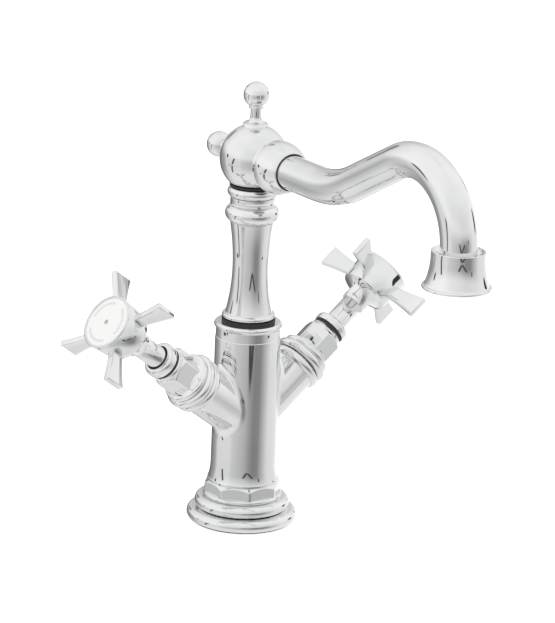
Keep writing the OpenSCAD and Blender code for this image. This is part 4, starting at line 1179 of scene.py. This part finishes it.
# a streak: angle, half width, lowest and highest place
STREAKS = [(-92, 8.0, -0.340, -0.321), (82, 6.0, -0.336, -0.322)]
STREAK_EDGE, STREAK_FADE = (0.5, 1.0), 0.002
# upright faces mirror this height, and no seam crosses it
STILL_HEIGHT, STILL_HALF, STILL_EDGE = -0.305, 0.03, 0.8
# a flag: angle, height, half width and shade
FLAGS = [
    (121, 0.05, 7.0, 0.04), (-150, 0.25, 8.0, 0.3), (56, -0.03, 3.0, 0.15), (-100, 0.0, 4.0, 0.12),
    (150, 0.1, 3.0, 0.05),
]
FLAG_EDGE = (1.25, 0.8)
DARK = (0.07, 0.07, 0.07, 1)


def dark_line(tree, off, width, edge, height, lowest, highest, fade):
    """A line that is dark where off is under its width, between two heights."""
    inner, outer = (math.radians(width) * share for share in edge)
    across = 1 - tree.smooth(off.math("ABSOLUTE"), inner, outer)
    from_low = tree.smooth(height, lowest, lowest + fade)
    return across * (from_low * (1 - tree.smooth(height, highest, highest + fade)))


def paint_lines(tree, tent, angle, height):
    above = height - STILL_HEIGHT
    still = tree.smooth(above.math("ABSOLUTE"), STILL_HALF * STILL_EDGE, STILL_HALF)
    lines = []
    for degrees, lean, width, lowest, highest in SEAMS:
        off = angle - (above * math.radians(lean) + math.radians(degrees))
        seam = dark_line(tree, off, width, SEAM_EDGE, height, lowest, highest, SEAM_FADE)
        lines.append(seam * still)
    for degrees, width, lowest, highest in STREAKS:
        off = angle - math.radians(degrees)
        low = lowest - STREAK_FADE
        lines.append(dark_line(tree, off, width, STREAK_EDGE, height, low, highest, STREAK_FADE))
    return tree.mix(sum(lines[1:], lines[0]).math("MINIMUM", 1.0), tent, DARK)


def paint_flags(tree, tent, ahead, along):
    for degrees, flag_height, width, level in FLAGS:
        around = math.radians(degrees)
        level_part = ahead * math.cos(around) + right * math.sin(around)
        towards = level_part * math.sqrt(1 - flag_height**2) + Vector((0, 0, flag_height))
        rim, core = (math.cos(math.radians(width * share)) for share in FLAG_EDGE)
        tent = tree.mix(tree.smooth(along(towards), rim, core), tent, (level, level, level, 1))
    return tent


# %% The world
SOFT_LIGHT, PLAIN_WHITE = (0.9, 0.9, 0.9, 1), (1, 1, 1, 1)


def paint_world():
    world = bpy.data.worlds.new("tent")
    scene.world = world
    tree = Tree(world)
    heading = tree.node("ShaderNodeTexCoord")
    ahead = Vector((back.x, back.y, 0)).normalized()

    def along(direction):
        inputs = [heading, tuple(direction)]
        return tree.node("ShaderNodeVectorMath", {"operation": "DOT_PRODUCT"}, inputs, 1)

    height = along((0, 0, 1))
    angle = tree.node("ShaderNodeMath", {"operation": "ARCTAN2"}, [along(right), along(ahead)])
    tent = paint_lines(tree, paint_walls(tree, angle, height), angle, height)
    tent = paint_flags(tree, tent, ahead, along)
    path = tree.node("ShaderNodeLightPath").socket.node.outputs
    seen = Wire(tree, path["Is Camera Ray"]) + Wire(tree, path["Is Transmission Ray"])
    plain = tree.mix(seen.math("MINIMUM", 1.0), SOFT_LIGHT, PLAIN_WHITE)
    colour = tree.mix(Wire(tree, path["Is Glossy Ray"]), plain, tent)
    tree.node("ShaderNodeOutputWorld", None, [tree.node("ShaderNodeBackground", None, [colour])])
    return len(tree.nodes)


print("world:", paint_world(), "nodes")

# %% [markdown]
# ## Floor and lamp
#
# The floor is a wide pale disc. What the camera sees of it is mostly its own white, so that it
# joins the white background, with a share of real light that keeps the soft shadow at the foot.
# One large soft lamp from above left gives that shadow a side.

# %% Floor
FLOOR_R, FLOOR_SIDES = 4.0, 96
FLOOR_PAINT, FLOOR_OWN_LIGHT = (0.8, 0.8, 0.8, 1), 0.5


def lay_floor():
    work = bmesh.new()
    bmesh.ops.create_circle(work, cap_ends=True, segments=FLOOR_SIDES, radius=FLOOR_R)
    data = bpy.data.meshes.new("floor")
    work.to_mesh(data)
    work.free()
    floor = bpy.data.objects.new("floor", data)
    scene.collection.objects.link(floor)
    made, tree = finish_named("pale_floor")
    seen = Wire(tree, tree.node("ShaderNodeLightPath").socket.node.outputs["Is Camera Ray"])
    paint = tree.node("ShaderNodeBsdfDiffuse", None, {"Color": FLOOR_PAINT})
    glow = {"Color": PLAIN_WHITE, "Strength": FLOOR_OWN_LIGHT}
    own = tree.node("ShaderNodeEmission", None, glow)
    both = tree.node("ShaderNodeAddShader", None, [paint, own])
    shader = tree.node("ShaderNodeMixShader", None, [seen, paint, both])
    tree.node("ShaderNodeOutputMaterial", None, [shader])
    data.materials.append(made)
    floor.visible_glossy = False


lay_floor()
print("floor:", 2 * FLOOR_R, "m across")

# %% Lamp
LAMP_SIZE, LAMP_POWER = 1.2, 6
LAMP_AT, LAMP_AIM = Vector((-0.9, -0.8, 1.3)), Vector((0, 0, 0.1))
lamp_data = bpy.data.lights.new("soft_lamp", "AREA")
lamp_data.shape = "DISK"
lamp_data.size = LAMP_SIZE
lamp_data.energy = LAMP_POWER
lamp = bpy.data.objects.new("soft_lamp", lamp_data)
lamp.location = LAMP_AT
lamp.rotation_euler = (LAMP_AIM - LAMP_AT).to_track_quat("-Z", "Y").to_euler()
lamp.visible_glossy = False
scene.collection.objects.link(lamp)
scene.view_settings.view_transform = "Standard"
print("lamp:", LAMP_SIZE, "m across,", LAMP_POWER, "W")
